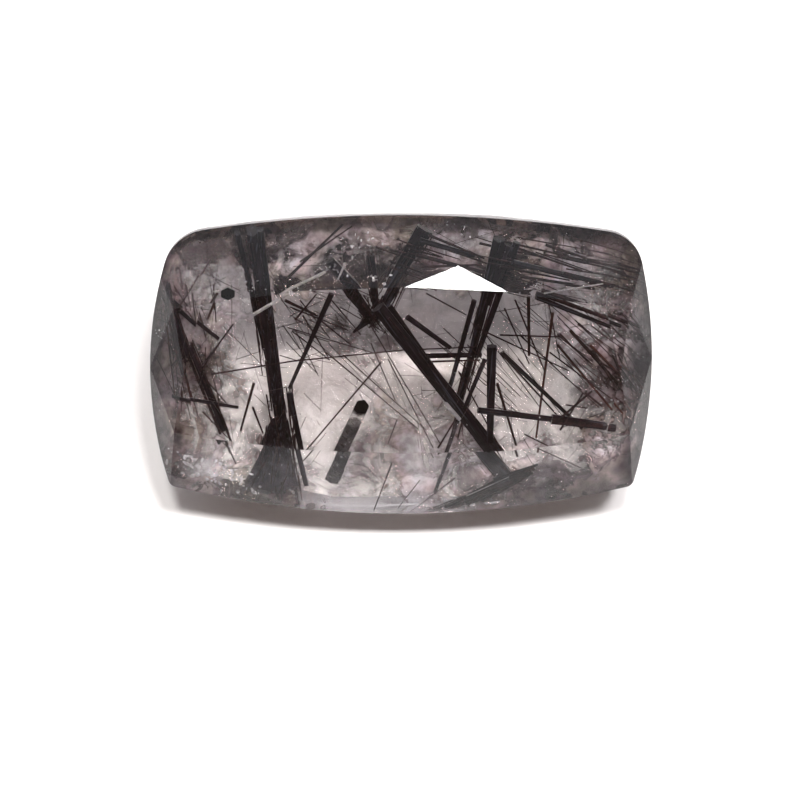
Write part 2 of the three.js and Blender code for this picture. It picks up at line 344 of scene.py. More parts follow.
class StriationGroup(SharedTree):
    """A shader node group: long fine lines and small blotches, as on the sides of a grown needle."""

    NAME = "striations"
    INPUTS = {"Vector": "Vector", "Blotch Scale": "Float"}
    OUTPUTS = {"Lines": "Float", "Blotches": "Float"}
    BLOTCH_RANGE = (0.4, 0.7)

    @classmethod
    def _fill(cls, sketch: NodeSketch, given: Sockets) -> dict[str, Socket]:
        """Adds the lines and the blotches.

        Args:
            sketch: the group's nodes.
            given: its inputs.

        Returns:
            The lines and the blotches, from 0 to 1.
        """
        lines = sketch.noise(given["Vector"], 1.0, 3.0, Roughness=0.6)
        blotches = sketch.noise(given["Vector"], given["Blotch Scale"], 2.0)
        return {"Lines": sketch.spread(lines, 0.0, 1.0, *NOISE_RANGE),
                "Blotches": sketch.spread(blotches, 0.0, 1.0, *cls.BLOTCH_RANGE)}


class Finish:
    """What all finishes share: each fills a new material by its own shade method."""

    def material(self, name: str) -> bpy.types.Material:
        """Builds the material.

        Args:
            name: the material's name.

        Returns:
            The new material.
        """
        material = bpy.data.materials.new(name)
        material.use_nodes = True
        sketch = NodeSketch(material.node_tree)
        place = sketch.add("ShaderNodeTexCoord").outputs["Object"]
        sketch.add("ShaderNodeOutputMaterial", self.shade(sketch, place))
        return material

    def shade(self, sketch: NodeSketch, place: Socket) -> dict[str, Socket]:
        """Adds the finish's own nodes.

        Args:
            sketch: the material's nodes.
            place: where a point of the piece is.

        Returns:
            What the material's output is given, by socket.
        """
        raise NotImplementedError


@dataclass(frozen=True)
class ClearQuartz(Finish):
    """Clear grey quartz, polished or frosted.

    Args:
        roughness: lowest roughness of the surface.
        smear: how much rougher its smeared places are.
        tint: colour that is left of white light after a millimetre, times the density.
        density: how strongly it absorbs, per metre.
        colour: the surface's own colour.
        clearness: how much of the light goes through the surface.
        ior: its index of refraction.
        wear_size: size of a smear, in metres.
        bump_height: height of the surface's faint waves, in metres.
        waves: how many of these waves there are to a smear.
    """

    SMEAR_RANGE = (0.5, 0.75)

    roughness: float = 0.0
    smear: float = 0.0
    tint: Colour = (0.56, 0.49, 0.47)
    density: float = 90.0
    colour: Colour = (1.0, 1.0, 1.0)
    clearness: float = 1.0
    ior: float = 1.544
    wear_size: float = 2.4 * MM
    bump_height: float = 0.002 * MM
    waves: float = 0.4

    def shade(self, sketch: NodeSketch, place: Socket) -> dict[str, Socket]:
        """Adds the smeared, faintly wavy surface and the colour of the depth.

        Args:
            sketch: the material's nodes.
            place: where a point of the stone is.

        Returns:
            The surface and the volume.
        """
        smears = sketch.noise(place, 1 / self.wear_size, 4.0)
        rough = sketch.spread(smears, self.roughness, self.roughness + self.smear, *self.SMEAR_RANGE)
        waves = sketch.noise(place, self.waves / self.wear_size, 1.0)
        surface = sketch.add("ShaderNodeBsdfPrincipled", {
            "Base Color": shader_colour(self.colour), "Roughness": rough, "Metallic": 0.0, "IOR": self.ior,
            "Transmission Weight": self.clearness, "Normal": sketch.bump(waves, 1.0, self.bump_height)})
        volume = sketch.add("ShaderNodeVolumeAbsorption", {
            "Color": shader_colour(self.tint), "Density": self.density})
        return {"Surface": surface.outputs["BSDF"], "Volume": volume.outputs["Volume"]}


@dataclass(frozen=True)
class Haze:
    """How cloudy quartz hides the lower part of a needle.

    Args:
        top: height above the floor at which the haze ends, in millimetres.
        clearness: how much of the hazy part is seen through where it is clearest.
        colour: the colour that it gives the needle.
        blend: height over which it fades, in millimetres.
        lost: above this height the hazy part is nearly lost to sight, in millimetres. None is without that.
        loss: how much of it is lost there.
        mottles: how many patches it has to a millimetre.
        dimming: how bright its dark patches are, as a share of its colour.
        closing: how clear its dark patches are, as a share of its clearness.
    """

    PATCH_RANGE = (0.35, 0.62)

    top: float
    clearness: float
    colour: Colour = (0.12, 0.115, 0.135)
    blend: float = 0.25
    lost: float | None = None
    loss: float = 0.85
    mottles: float = 2.2
    dimming: float = 0.35
    closing: float = 0.3

    def veil(self, sketch: NodeSketch, place: Socket, colour: Socket) -> dict[str, Socket]:
        """Adds the haze.

        Args:
            sketch: the needle's nodes.
            place: where a point of the needle is.
            colour: the needle's clear colour.

        Returns:
            The needle's hazy colour, and how much of it is seen.
        """
        height = sketch.add("ShaderNodeSeparateXYZ", {"Vector": place}).outputs["Z"]
        depth = sketch.spread(height, 1.0, 0.0, (self.top - self.blend) * MM, self.top * MM)
        patches = sketch.spread(sketch.noise(place, self.mottles / MM, 3.0), 0.0, 1.0, *self.PATCH_RANGE)
        dim = tuple(self.dimming * part for part in self.colour)
        shade = sketch.ramp(patches, [(0.0, self.colour), (1.0, dim)])
        gaps = sketch.spread(patches, self.clearness, self.closing * self.clearness)
        if self.lost is not None:
            gone = sketch.spread(height, 0.0, self.loss, self.lost * MM, (self.lost + self.blend) * MM)
            gaps = sketch.calculate("MAXIMUM", gaps, gone)
        seen = sketch.calculate("SUBTRACT", 1.0, sketch.calculate("MULTIPLY", depth, gaps))
        return {"Base Color": sketch.mix(depth, colour, shade), "Alpha": seen}


@dataclass(frozen=True)
class NeedleFinish(Finish):
    """A dark grown needle, with fine lines along it and a paler colour between them, partly its own tone and
    partly a painted sheen.

    Args:
        dark: its colour in the lines.
        light: its colour between the lines, partly its own paler tone and partly a painted sheen.
        rust: the colour of its blotches.
        roughness: roughness between the lines.
        line_roughness: how much rougher the lines are, on hairs that keep both ends.
        line_width: width of a line, in metres.
        line_length: length of a line, in metres.
        line_depth: depth of a line, in metres.
        line_edge: where in the lines' noise its colour begins to turn light.
        blotches: how many blotches there are to the width of a line.
        ior: its index of refraction, low because it lies in quartz.
        along: the way of the needle, for its lines. Without it the lines have no direction.
        table: the table's normal, and how far along it a needle's ground end begins, in metres.
        ground_colour: colour of the ground end.
        haze: the part of it that lies in cloudy quartz, if any.
    """

    dark: Colour
    light: Colour
    rust: Colour
    roughness: float = 0.3
    line_roughness: float = 0.2
    line_width: float = 0.07 * MM
    line_length: float = 3.0 * MM
    line_depth: float = 0.008 * MM
    line_edge: float = 0.6
    blotches: float = 0.3
    ior: float = 1.3
    along: Vector | None = None
    table: tuple[Vector, float] | None = None
    ground_colour: Colour = (0.001, 0.001, 0.001)
    haze: Haze | None = None

    def shade(self, sketch: NodeSketch, place: Socket) -> dict[str, Socket]:
        """Adds the lined and blotched surface, its ground end and its haze.

        Args:
            sketch: the material's nodes.
            place: where a point of the needle is.

        Returns:
            The surface.
        """
        turn = self.along.to_track_quat("Z", "Y").to_euler() if self.along else (0.0, 0.0, 0.0)
        size = (self.line_width, self.line_width, self.line_length if self.along else self.line_width)
        lined = sketch.add("ShaderNodeMapping", {"Vector": place, "Rotation": turn, "Scale": size},
                           vector_type="TEXTURE")
        striations = sketch.add("ShaderNodeGroup", node_tree=StriationGroup.tree())
        sketch.tree.links.new(lined.outputs["Vector"], striations.inputs["Vector"])
        striations.inputs["Blotch Scale"].default_value = self.blotches
        lines, blotches = striations.outputs["Lines"], striations.outputs["Blotches"]
        # Between the lines the colour turns to the light one: partly the needle's own tone, partly a painted
        # sheen.
        tone = sketch.ramp(lines, [(0.0, self.dark), (self.line_edge, self.dark), (1.0, self.light)])
        colour = sketch.mix(blotches, tone, shader_colour(self.rust))
        if self.table:
            rise = sketch.add("ShaderNodeVectorMath", {0: place, 1: self.table[0]}, operation="DOT_PRODUCT")
            ground = sketch.calculate("GREATER_THAN", rise.outputs["Value"], self.table[1])
            rough = sketch.spread(ground, self.roughness, 1.0)
            colour = sketch.mix(ground, colour, shader_colour(self.ground_colour))
        else:
            rough = sketch.spread(lines, self.roughness + self.line_roughness, self.roughness)
        looks = {"Base Color": colour, "Roughness": rough, "IOR": self.ior,
                 "Normal": sketch.bump(lines, 0.8, self.line_depth)}
        if self.haze:
            looks.update(self.haze.veil(sketch, place, colour))
        return {"Surface": sketch.add("ShaderNodeBsdfPrincipled", looks).outputs["BSDF"]}


@dataclass(frozen=True)
class CloudFinish(Finish):
    """Cloudy quartz: a soft sheet whose points say how thick and how pale it is.

    Args:
        dark: its colour where it is darkest.
        middle: its colour between.
        pale: its colour where it is palest.
        casts: the tints that it takes on in turn: olive, warm and cool.
        cast_stops: where in the noise each of them lies.
        grain: size of its blotches, in metres.
        shard: size of its flat, sharp-edged patches, in metres.
        drift: how many slow changes of tone there are to a grain, and how far they go.
        crumbs: how many crumbs there are to a grain, and how far they change the tone.
        shard_swing: how far a shard may differ in tone.
        contrast: how strong all these are in the darkest and in the paler places.
        contrast_tones: the tones at which they are that strong.
        hues: how many changes of tint there are to a grain.
        gaps: how thick the sheet is between its wisps and in them, as a share.
    """

    THICKNESS = "cloud_thickness"
    TONE = "cloud_tone"
    WISP_RANGE = (0.4, 0.6)

    dark: Colour = (0.03, 0.022, 0.025)
    middle: Colour = (0.275, 0.242, 0.243)
    pale: Colour = (0.8, 0.78, 0.8)
    casts: tuple[Colour, Colour, Colour] = ((1.0, 0.95, 0.86), (1.0, 0.88, 0.92), (0.92, 0.94, 1.0))
    cast_stops: tuple[float, float, float] = (0.38, 0.5, 0.62)
    grain: float = 1.2 * MM
    shard: float = 1.1 * MM
    drift: tuple[float, float] = (0.35, 0.25)
    crumbs: tuple[float, float] = (4.0, 0.14)
    shard_swing: float = 0.26
    contrast: tuple[float, float] = (0.3, 1.0)
    contrast_tones: tuple[float, float] = (0.05, 0.5)
    hues: float = 0.6
    gaps: tuple[float, float] = (0.35, 1.4)

    def shade(self, sketch: NodeSketch, place: Socket) -> dict[str, Socket]:
        """Adds the mottled, see-through surface.

        Args:
            sketch: the material's nodes.
            place: where a point of the sheet is.

        Returns:
            The surface.
        """
        thickness = sketch.add("ShaderNodeAttribute", attribute_name=self.THICKNESS).outputs["Fac"]
        tone = sketch.add("ShaderNodeAttribute", attribute_name=self.TONE).outputs["Fac"]
        wisps = sketch.noise(place, 1 / self.grain, 6.0, Roughness=0.65, Distortion=0.6)
        drift = sketch.swing(sketch.noise(place, self.drift[0] / self.grain, 2.0), self.drift[1])
        crumbs = sketch.swing(sketch.noise(place, self.crumbs[0] / self.grain, 4.0), self.crumbs[1])
        steps = sketch.spread(self._shards(sketch, place, wisps), -self.shard_swing, self.shard_swing)
        mottle = sketch.calculate("ADD", sketch.calculate("ADD", drift, steps), crumbs)
        contrast = sketch.spread(tone, *self.contrast, *self.contrast_tones)
        shade = sketch.calculate("MULTIPLY_ADD", mottle, contrast, tone, clamp=True)
        grey = sketch.ramp(shade, [(0.0, self.dark), (0.5, self.middle), (1.0, self.pale)])
        hues = sketch.noise(place, self.hues / self.grain, 3.0)
        cast = sketch.ramp(hues, list(zip(self.cast_stops, self.casts)))
        gaps = sketch.spread(wisps, *self.gaps, *self.WISP_RANGE)
        surface = sketch.add("ShaderNodeBsdfPrincipled", {
            "Base Color": sketch.mix(1.0, grey, cast, "MULTIPLY"), "Roughness": 0.9,
            "Specular IOR Level": 0.0, "Alpha": sketch.calculate("MULTIPLY", thickness, gaps, clamp=True)})
        return {"Surface": surface.outputs["BSDF"]}

    def _shards(self, sketch: NodeSketch, place: Socket, wisps: Socket) -> Socket:
        """Adds flat patches with sharp edges, bent by the wisps.

        Args:
            sketch: the material's nodes.
            place: where a point of the sheet is.
            wisps: the noise of the wisps.

        Returns:
            A value for each patch, from 0 to 1.
        """
        bent = sketch.add("ShaderNodeVectorMath", {
            0: place, 1: wisps.node.outputs["Color"], 2: (self.grain,) * 3}, operation="MULTIPLY_ADD")
        cells = sketch.add("ShaderNodeTexVoronoi", {
            "Vector": bent.outputs["Vector"], "Scale": 1 / self.shard, "Randomness": 1.0})
        return sketch.add("ShaderNodeSeparateColor", {"Color": cells.outputs["Color"]}).outputs["Red"]


@dataclass(frozen=True)
class GlintVeilFinish(Finish):
    """The thin skin of a healed crack; a bright colour on it is a painted glint, the light that the crack
    would mirror.

    Args:
        colour: its colour; a bright one is a painted glint.
        alpha: how much of it is seen at most.
        roughness: its roughness.
        faintest: how much of it is seen at least, as a share of alpha.
        mottles: how many patches it has to a millimetre.
    """

    colour: Colour
    alpha: float
    roughness: float = 0.25
    faintest: float = 0.2
    mottles: float = 4.0

    def shade(self, sketch: NodeSketch, place: Socket) -> dict[str, Socket]:
        """Adds the patchy surface.

        Args:
            sketch: the material's nodes.
            place: where a point of the crack is.

        Returns:
            The surface.
        """
        mottle = sketch.noise(place, self.mottles / MM, 3.0)
        veil = sketch.spread(mottle, self.faintest * self.alpha, self.alpha, *NOISE_RANGE)
        surface = sketch.add("ShaderNodeBsdfPrincipled", {
            "Base Color": shader_colour(self.colour), "Roughness": self.roughness, "Alpha": veil})
        return {"Surface": surface.outputs["BSDF"]}


@dataclass(frozen=True)
class PaperFinish(Finish):
    """White paper with a faint tooth, and painted light: its colour darkens away from the stone.

    Args:
        colour: its colour round the stone.
        painted_shade_colour: its colour where the painted light has died away: painted shade.
        painted_light_reach: distances from the stone at which the painted light begins to fade and has died
            away, in metres.
        tooth: how many grains its tooth has to a millimetre.
        tooth_height: height of a grain, in metres.
    """

    colour: Colour = (0.9, 0.9, 0.9)
    painted_shade_colour: Colour = (0.38, 0.375, 0.385)
    painted_light_reach: tuple[float, float] = (10 * MM, 33 * MM)
    tooth: float = 2.0
    tooth_height: float = 0.02 * MM

    def shade(self, sketch: NodeSketch, place: Socket) -> dict[str, Socket]:
        """Adds the paper's surface.

        Args:
            sketch: the material's nodes.
            place: where a point of the paper is.

        Returns:
            The surface.
        """
        tooth = sketch.noise(place, self.tooth / MM, 2.0)
        # Painted light: the paper's colour darkens with distance from the stone.
        distance = sketch.add("ShaderNodeVectorMath", {0: place}, operation="LENGTH").outputs["Value"]
        painted_falloff = sketch.spread(distance, 0.0, 1.0, *self.painted_light_reach)
        surface = sketch.add("ShaderNodeBsdfPrincipled", {
            "Base Color": sketch.ramp(painted_falloff, [(0.0, self.colour), (1.0, self.painted_shade_colour)]), "Roughness": 0.9,
            "Specular IOR Level": 0.1, "Normal": sketch.bump(tooth, 0.3, self.tooth_height)})
        return {"Surface": surface.outputs["BSDF"]}


@dataclass
class QuartzStone:
    """The clear cut stone: one polished body that stands for its two halves.

    Args:
        halves: the nodes that it stands for.
        tilt: the turn about X that laid it on its facet, in degrees.
        crown_height: height of the table above the crown edge of the girdle, in millimetres.
        girdle_height: height of the frosted band, in millimetres.
        block: side of the block that it is cut from, in millimetres.
        flat_angle: facets that differ by less than this are one, in degrees.
        smallest_facet: smallest facet that is cut, in square millimetres.
        smallest_edge: corners nearer than this are one, in millimetres.
        worn_angle: facet edges sharper than this are worn, in degrees.
        wear: width of a worn edge, in millimetres.
        upright: a facet whose normal rises less than this, per unit of its length, stands upright.
        snap: corners nearer to a cut than this are moved onto it, in millimetres.
        polish: the finish of its facets.
        frost: the finish of its girdle.
        cutting: its cutting frame, found when it is built.
        planes: the normal and the middle of each facet, found when it is built.
    """

    halves: tuple[str, str] = ("quartz_crown_half", "quartz_pavilion_half")
    tilt: float = 30.0
    crown_height: float = 1.5
    girdle_height: float = 0.9
    block: float = 60.0
    flat_angle: float = 0.6
    smallest_facet: float = 0.02
    smallest_edge: float = 0.002
    worn_angle: float = 6.0
    wear: float = 0.02
    upright: float = 0.05
    snap: float = 1e-5
    polish: ClearQuartz = ClearQuartz(smear=0.04)
    frost: ClearQuartz = ClearQuartz(roughness=0.3, smear=0.3, bump_height=0.01 * MM, clearness=0.85,
                                     colour=(0.92, 0.91, 0.93))
    cutting: CuttingFrame = field(init=False)
    planes: list[tuple[Vector, Vector]] = field(init=False)

    def build(self) -> bpy.types.Object:
        """Makes the stone's body from the outer points of its halves and dresses it.

        Returns:
            The finished piece.
        """
        points = [vertex.co.copy() for name in self.halves for vertex in frame["nodes"][name].data.vertices]
        self.cutting = CuttingFrame.of_stone(points, self.tilt, self.crown_height)
        shape = self._facets(points)
        self.planes = [(face.normal.copy(), face.calc_center_median()) for face in shape.faces]
        self._wear_edges(shape)
        self._mark_girdle(shape)
        log.info("quartz_body: %d facets", len(self.planes))
        mesh = bpy.data.meshes.new("quartz_body")
        shape.to_mesh(mesh)
        shape.free()
        mesh.materials.append(self.polish.material("quartz_polished"))
        mesh.materials.append(self.frost.material("quartz_frosted"))
        body = joined_to_stone(placed("quartz_body", mesh))
        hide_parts(*self.halves)
        return body

    def _facets(self, points: list[Vector]) -> bmesh.types.BMesh:
        """Cuts a block along every facet of the hull around the points.

        Args:
            points: points on and in the stone, in metres.

        Returns:
            The stone, with one face for each facet.
        """
        hull = bmesh.new()
        for point in points:
            hull.verts.new(point / MM)
        wrapped = bmesh.ops.convex_hull(hull, input=hull.verts)
        inner = [item for item in wrapped["geom_interior"] if isinstance(item, bmesh.types.BMVert)]
        bmesh.ops.delete(hull, geom=inner, context="VERTS")
        bmesh.ops.dissolve_limit(hull, angle_limit=math.radians(self.flat_angle),
                                 verts=hull.verts, edges=hull.edges)
        hull.normal_update()
        stone = bmesh.new()
        bmesh.ops.create_cube(stone, size=self.block)
        for face in sorted(hull.faces, key=lambda face: -face.calc_area()):
            if face.calc_area() > self.smallest_facet:
                self._cut(stone, face.calc_center_median(), face.normal)
        hull.free()
        bmesh.ops.remove_doubles(stone, verts=stone.verts, dist=self.smallest_edge)
        bmesh.ops.scale(stone, vec=(MM, MM, MM), verts=stone.verts)
        bmesh.ops.recalc_face_normals(stone, faces=stone.faces)
        stone.normal_update()
        return stone

    def _cut(self, stone: bmesh.types.BMesh, point: Vector, normal: Vector) -> None:
        """Cuts away what lies in front of a plane and closes the cut.

        Args:
            stone: what is cut.
            point: a point of the plane.
            normal: the plane's normal, pointing out of what is kept.
        """
        everything = stone.verts[:] + stone.edges[:] + stone.faces[:]
        cut = bmesh.ops.bisect_plane(stone, geom=everything, plane_co=point, plane_no=normal,
                                     clear_outer=True, dist=self.snap)
        rim = [item for item in cut["geom_cut"] if isinstance(item, bmesh.types.BMEdge)]
        if len(rim) > 2:
            bmesh.ops.contextual_create(stone, geom=rim)

    def _wear_edges(self, shape: bmesh.types.BMesh) -> None:
        """Rounds the facet edges a little, as wear does.

        Args:
            shape: the stone's faces.
        """
        worn = [edge for edge in shape.edges
                if edge.is_manifold and edge.calc_face_angle() > math.radians(self.worn_angle)]
        bmesh.ops.bevel(shape, geom=worn, offset=self.wear * MM, segments=1, profile=0.5,
                        affect="EDGES", clamp_overlap=True)
        shape.normal_update()

    def _mark_girdle(self, shape: bmesh.types.BMesh) -> None:
        """Gives the girdle band its frosted finish and smooths it.

        Args:
            shape: the stone's faces.
        """
        to_cutting = self.cutting.to_world.inverted()
        for face in shape.faces:
            middle = (to_cutting @ face.calc_center_median()) / MM
            upright = abs((to_cutting.to_3x3() @ face.normal).z) < self.upright
            if upright and -self.girdle_height < middle.z < 0:
                face.material_index = 1
                face.smooth = True

    def clip(self, start: Vector, end: Vector, skin: float) -> tuple[Vector, Vector] | None:
        """Cuts a line to the part of it that lies inside the stone.

        Args:
            start: one end, in metres.
            end: the other end, in metres.
            skin: how far below the surface the line stays, in metres.

        Returns:
            The two ends of what is left, or None.
        """
        low, high = 0.0, 1.0
        along = end - start
        for normal, point in self.planes:
            depth = (point - start).dot(normal) - skin
            rate = along.dot(normal)
            if abs(rate) < PARALLEL:
                if depth < 0:
                    return None
                continue
            share = depth / rate
            if rate > 0:
                high = min(high, share)
            else:
                low = max(low, share)
        if high <= low:
            return None
        return start + along * low, start + along * high

    def facet_at(self, place: Place) -> tuple[Vector, Vector]:
        """Returns the normal and middle of the facet nearest to a place in the cutting frame."""
        point = self.cutting.place(place)
        return min(self.planes, key=lambda plane: (plane[1] - point).length)


@dataclass
class NeedleSet:
    """The thick needles, which are solids of their own, and their finishes.

    Args:
        ground_end: a needle nearer to the table than this was ground flat with it, in millimetres.
        black: the finish of the thick needles.
        brown: the finish of the slim ones.
        hazes: the needles that lie partly in cloudy quartz.
    """

    ground_end: float = 0.35
    # The bluish grey between the black needles' lines is partly a painted sheen.
    black: NeedleFinish = NeedleFinish((0.0015, 0.001, 0.0015), (0.045, 0.045, 0.06), (0.012, 0.006, 0.01))
    brown: NeedleFinish = NeedleFinish((0.006, 0.002, 0.002), (0.03, 0.012, 0.011), (0.05, 0.016, 0.012))
    hazes: dict[str, Haze] = field(default_factory=lambda: {
        "needle_pillar": Haze(2.45, 0.35, (0.15, 0.14, 0.165), blend=0.5),
        "needle_table_rod": Haze(5.3, 0.35, (0.1, 0.095, 0.11), lost=4.1),
        "needle_big_diagonal": Haze(2.6, 0.12, (0.055, 0.052, 0.062), blend=0.6),
        "needle_front_grey": Haze(8.0, 0.6),
    })

    def dress(self, stone: QuartzStone) -> None:
        """Gives each needle a material whose lines run along it.

        Args:
            stone: the stone that holds them.
        """
        up = stone.cutting.direction(Vector((0, 0, 1)))
        level = up.dot(stone.cutting.place((0, 0, stone.crown_height - self.ground_end)))
        for name, node in frame["nodes"].items():
            if name in stone.halves:
                continue
            finish = self.brown if name.startswith("slim") else self.black
            finish = replace(finish, along=self._long_way(node), table=(up, level), haze=self.hazes.get(name))
            material = finish.material(name + "_finish")
            for holder in node.material_slots:
                holder.material = material
            log.info("%s dressed", name)

    @staticmethod
    def _long_way(node: bpy.types.Object) -> Vector:
        """Returns the long way of a node: from its farthest point to the point farthest from that."""
        points = [vertex.co for vertex in node.data.vertices]
        far = max(points, key=lambda point: (point - points[0]).length)
        other = max(points, key=lambda point: (point - far).length)
        return (other - far).normalized()


@dataclass(frozen=True)
class FineRod:
    """A fine needle, in millimetres.

    Args:
        run: the places in the cutting frame that it passes.
        width: its width at the first of them.
        taper: its width at the last of them, as a share of that.
    """

    run: tuple[Place, ...]
    width: float
    taper: float = 0.7


@dataclass(frozen=True)
class HairBunch:
    """Many fine needles that grew nearly the same way, in millimetres and degrees.

    Args:
        middle: the middle of the bunch.
        reach: half its size each way.
        heading: the compass way of its hairs.
        fall: how far they point down.
        fan: how far a hair may turn from that way.
        length: shortest and longest hair.
        width: thinnest and thickest hair.
        count: how many hairs.
        seed: where its random numbers start.
    """

    middle: Place
    reach: Place
    heading: float
    fall: float
    fan: float
    length: tuple[float, float]
    width: tuple[float, float]
    count: int
    seed: int

    def rods(self) -> list[FineRod]:
        """Returns the hairs of the bunch."""
        draw = random.Random(self.seed)
        rods = []
        for _ in range(self.count):
            middle = [c + draw.uniform(-r, r) for c, r in zip(self.middle, self.reach)]
            heading = math.radians(self.heading + draw.uniform(-self.fan, self.fan))
            fall = math.radians(self.fall + draw.uniform(-self.fan, self.fan))
            level = math.cos(fall)
            way = (math.cos(heading) * level, math.sin(heading) * level, -math.sin(fall))
            half = draw.uniform(*self.length) / 2
            ends = tuple(tuple(m + side * half * w for m, w in zip(middle, way)) for side in (-1, 1))
            width, taper = draw.uniform(*self.width), draw.uniform(*FINE_TAPERS)
            rods.append(FineRod(ends, width, taper))
        return rods


@dataclass(frozen=True)
class Fringe:
    """Fine crystals that grew along a thick needle, in millimetres and degrees.

    Args:
        start: one end of the needle.
        end: its other end.
        spread: how far from its middle line they lie at most.
        fan: how far one may turn from its way.
        length: shortest and longest crystal.
        width: thinnest and thickest crystal.
        count: how many crystals.
        seed: where its random numbers start.
    """

    # How far a crystal stands aside along X, Y and Z, in shares of the spread.
    ASIDE = ((-1, 1), (-0.3, 0.3), (-0.4, 0.8))
    # Where along the needle the last one may start.
    LAST_FOOT = 0.95

    start: Place
    end: Place
    spread: float
    fan: float
    length: tuple[float, float]
    width: tuple[float, float]
    count: int
    seed: int

    def rods(self) -> list[FineRod]:
        """Returns the crystals."""
        draw = random.Random(self.seed)
        start, run = Vector(self.start), Vector(self.end) - Vector(self.start)
        rods = []
        for _ in range(self.count):
            turn = [math.radians(draw.uniform(-self.fan, self.fan)) for _ in range(2)]
            way = Matrix.Rotation(turn[0], 3, "Z") @ Matrix.Rotation(turn[1], 3, "X") @ run.normalized()
            aside = Vector([draw.uniform(*limits) for limits in self.ASIDE]) * self.spread
            foot = start + run * draw.uniform(0.0, self.LAST_FOOT) + aside
            head = foot + way * draw.uniform(*self.length)
            width, taper = draw.uniform(*self.width), draw.uniform(*FINE_TAPERS)
            rods.append(FineRod((tuple(foot), tuple(head)), width, taper))
        return rods


class PieceTree(SharedTree):
    """A Geometry Nodes tree that makes a whole piece and gives it its material."""

    KIND = "GeometryNodeTree"
    OUTPUTS = {"Geometry": "Geometry"}

    @classmethod
    def _fill(cls, sketch: NodeSketch, given: Sockets) -> dict[str, Socket]:
        """Adds the tree's own nodes, which end in Realize Instances and Set Material.

        Args:
            sketch: the tree's nodes.
            given: its inputs.

        Returns:
            The dressed piece.
        """
        whole = sketch.add("GeometryNodeRealizeInstances", {"Geometry": cls._grow(sketch, given)})
        dressed = sketch.add("GeometryNodeSetMaterial", {
            "Geometry": whole.outputs["Geometry"], "Material": given["Material"]})
        return {"Geometry": dressed.outputs["Geometry"]}

    @classmethod
    def _grow(cls, sketch: NodeSketch, given: Sockets) -> Socket:
        """Adds the nodes that make the piece's shape.

        Args:
            sketch: the tree's nodes.
            given: its inputs.

        Returns:
            The shape.
        """
        raise NotImplementedError


class RodTree(PieceTree):
    """Turns edges into straight, many-sided rods."""

    NAME = "fine_rods"
    INPUTS = {"Geometry": "Geometry", "Sides": "Int", "Thickness": "Float", "Material": "Material"}
    WIDTH = "rod_width"

    @classmethod
    def _grow(cls, sketch: NodeSketch, given: Sockets) -> Socket:
        """Adds the nodes of the rods.

        Args:
            sketch: the tree's nodes.
            given: its inputs.

        Returns:
            The rods.
        """
        width = sketch.add("GeometryNodeInputNamedAttribute", {"Name": cls.WIDTH}, data_type="FLOAT")
        thickness = sketch.calculate("MULTIPLY", width.outputs["Attribute"], given["Thickness"])
        curves = sketch.add("GeometryNodeMeshToCurve", {"Mesh": given["Geometry"]})
        profile = sketch.add("GeometryNodeCurvePrimitiveCircle", {
            "Resolution": given["Sides"], "Radius": 0.5})
        rods = sketch.add("GeometryNodeCurveToMesh", {
            "Curve": curves.outputs["Curve"], "Profile Curve": profile.outputs["Curve"],
            "Scale": thickness, "Fill Caps": True})
        flat = sketch.add("GeometryNodeSetShadeSmooth", {
            "Geometry": rods.outputs["Mesh"], "Shade Smooth": False})
        return flat.outputs["Geometry"]


class FlakeTree(PieceTree):
    """Lays a flake on each point, turned and sized by the point's own values."""

    NAME = "veil_flakes"
    INPUTS = {"Geometry": "Geometry", "Thickness": "Float", "Material": "Material"}
    TURN = "flake_turn"
    SIZE = "flake_size"

    @classmethod
    def _grow(cls, sketch: NodeSketch, given: Sockets) -> Socket:
        """Adds the nodes of the flakes.

        Args:
            sketch: the tree's nodes.
            given: its inputs.

        Returns:
            The flakes.
        """
        turn, size = (sketch.add("GeometryNodeInputNamedAttribute", {"Name": name}, data_type="FLOAT_VECTOR")
                      for name in (cls.TURN, cls.SIZE))
        ball = sketch.add("GeometryNodeMeshIcoSphere", {"Radius": 0.5, "Subdivisions": 1})
        thin = sketch.add("ShaderNodeCombineXYZ", {"X": 1.0, "Y": 1.0, "Z": given["Thickness"]})
        flake = sketch.add("GeometryNodeTransform", {
            "Geometry": ball.outputs["Mesh"], "Scale": thin.outputs["Vector"]})
        points = sketch.add("GeometryNodeMeshToPoints", {"Mesh": given["Geometry"]})
        laid = sketch.add("GeometryNodeInstanceOnPoints", {
            "Points": points.outputs["Points"], "Instance": flake.outputs["Geometry"],
            "Rotation": turn.outputs["Attribute"], "Scale": size.outputs["Attribute"]})
        return laid.outputs["Instances"]


def grown_piece(name: str, source: bpy.types.Mesh, tree: bpy.types.NodeTree, inputs: dict[str, object]) -> bpy.types.Object:
    """Runs a Geometry Nodes tree on a mesh and keeps its result as a plain piece of the stone.

    Args:
        name: the piece's name.
        source: the mesh that the tree starts from.
        tree: the tree.
        inputs: what the tree's named inputs are given.

    Returns:
        The finished piece.
    """
    carrier = placed(name + "_source", source)
    modifier = carrier.modifiers.new("grow", "NODES")
    modifier.node_group = tree
    for item in tree.interface.items_tree:
        if item.item_type == "SOCKET" and item.in_out == "INPUT" and item.name in inputs:
            modifier[item.identifier] = inputs[item.name]
    grown = bpy.data.meshes.new_from_object(carrier.evaluated_get(bpy.context.evaluated_depsgraph_get()))
    bpy.data.objects.remove(carrier)
    for attribute in [each for each in grown.attributes if each.name.startswith(("rod_", "flake_"))]:
        grown.attributes.remove(attribute)
    grown.name = name
    return joined_to_stone(placed(name, grown))


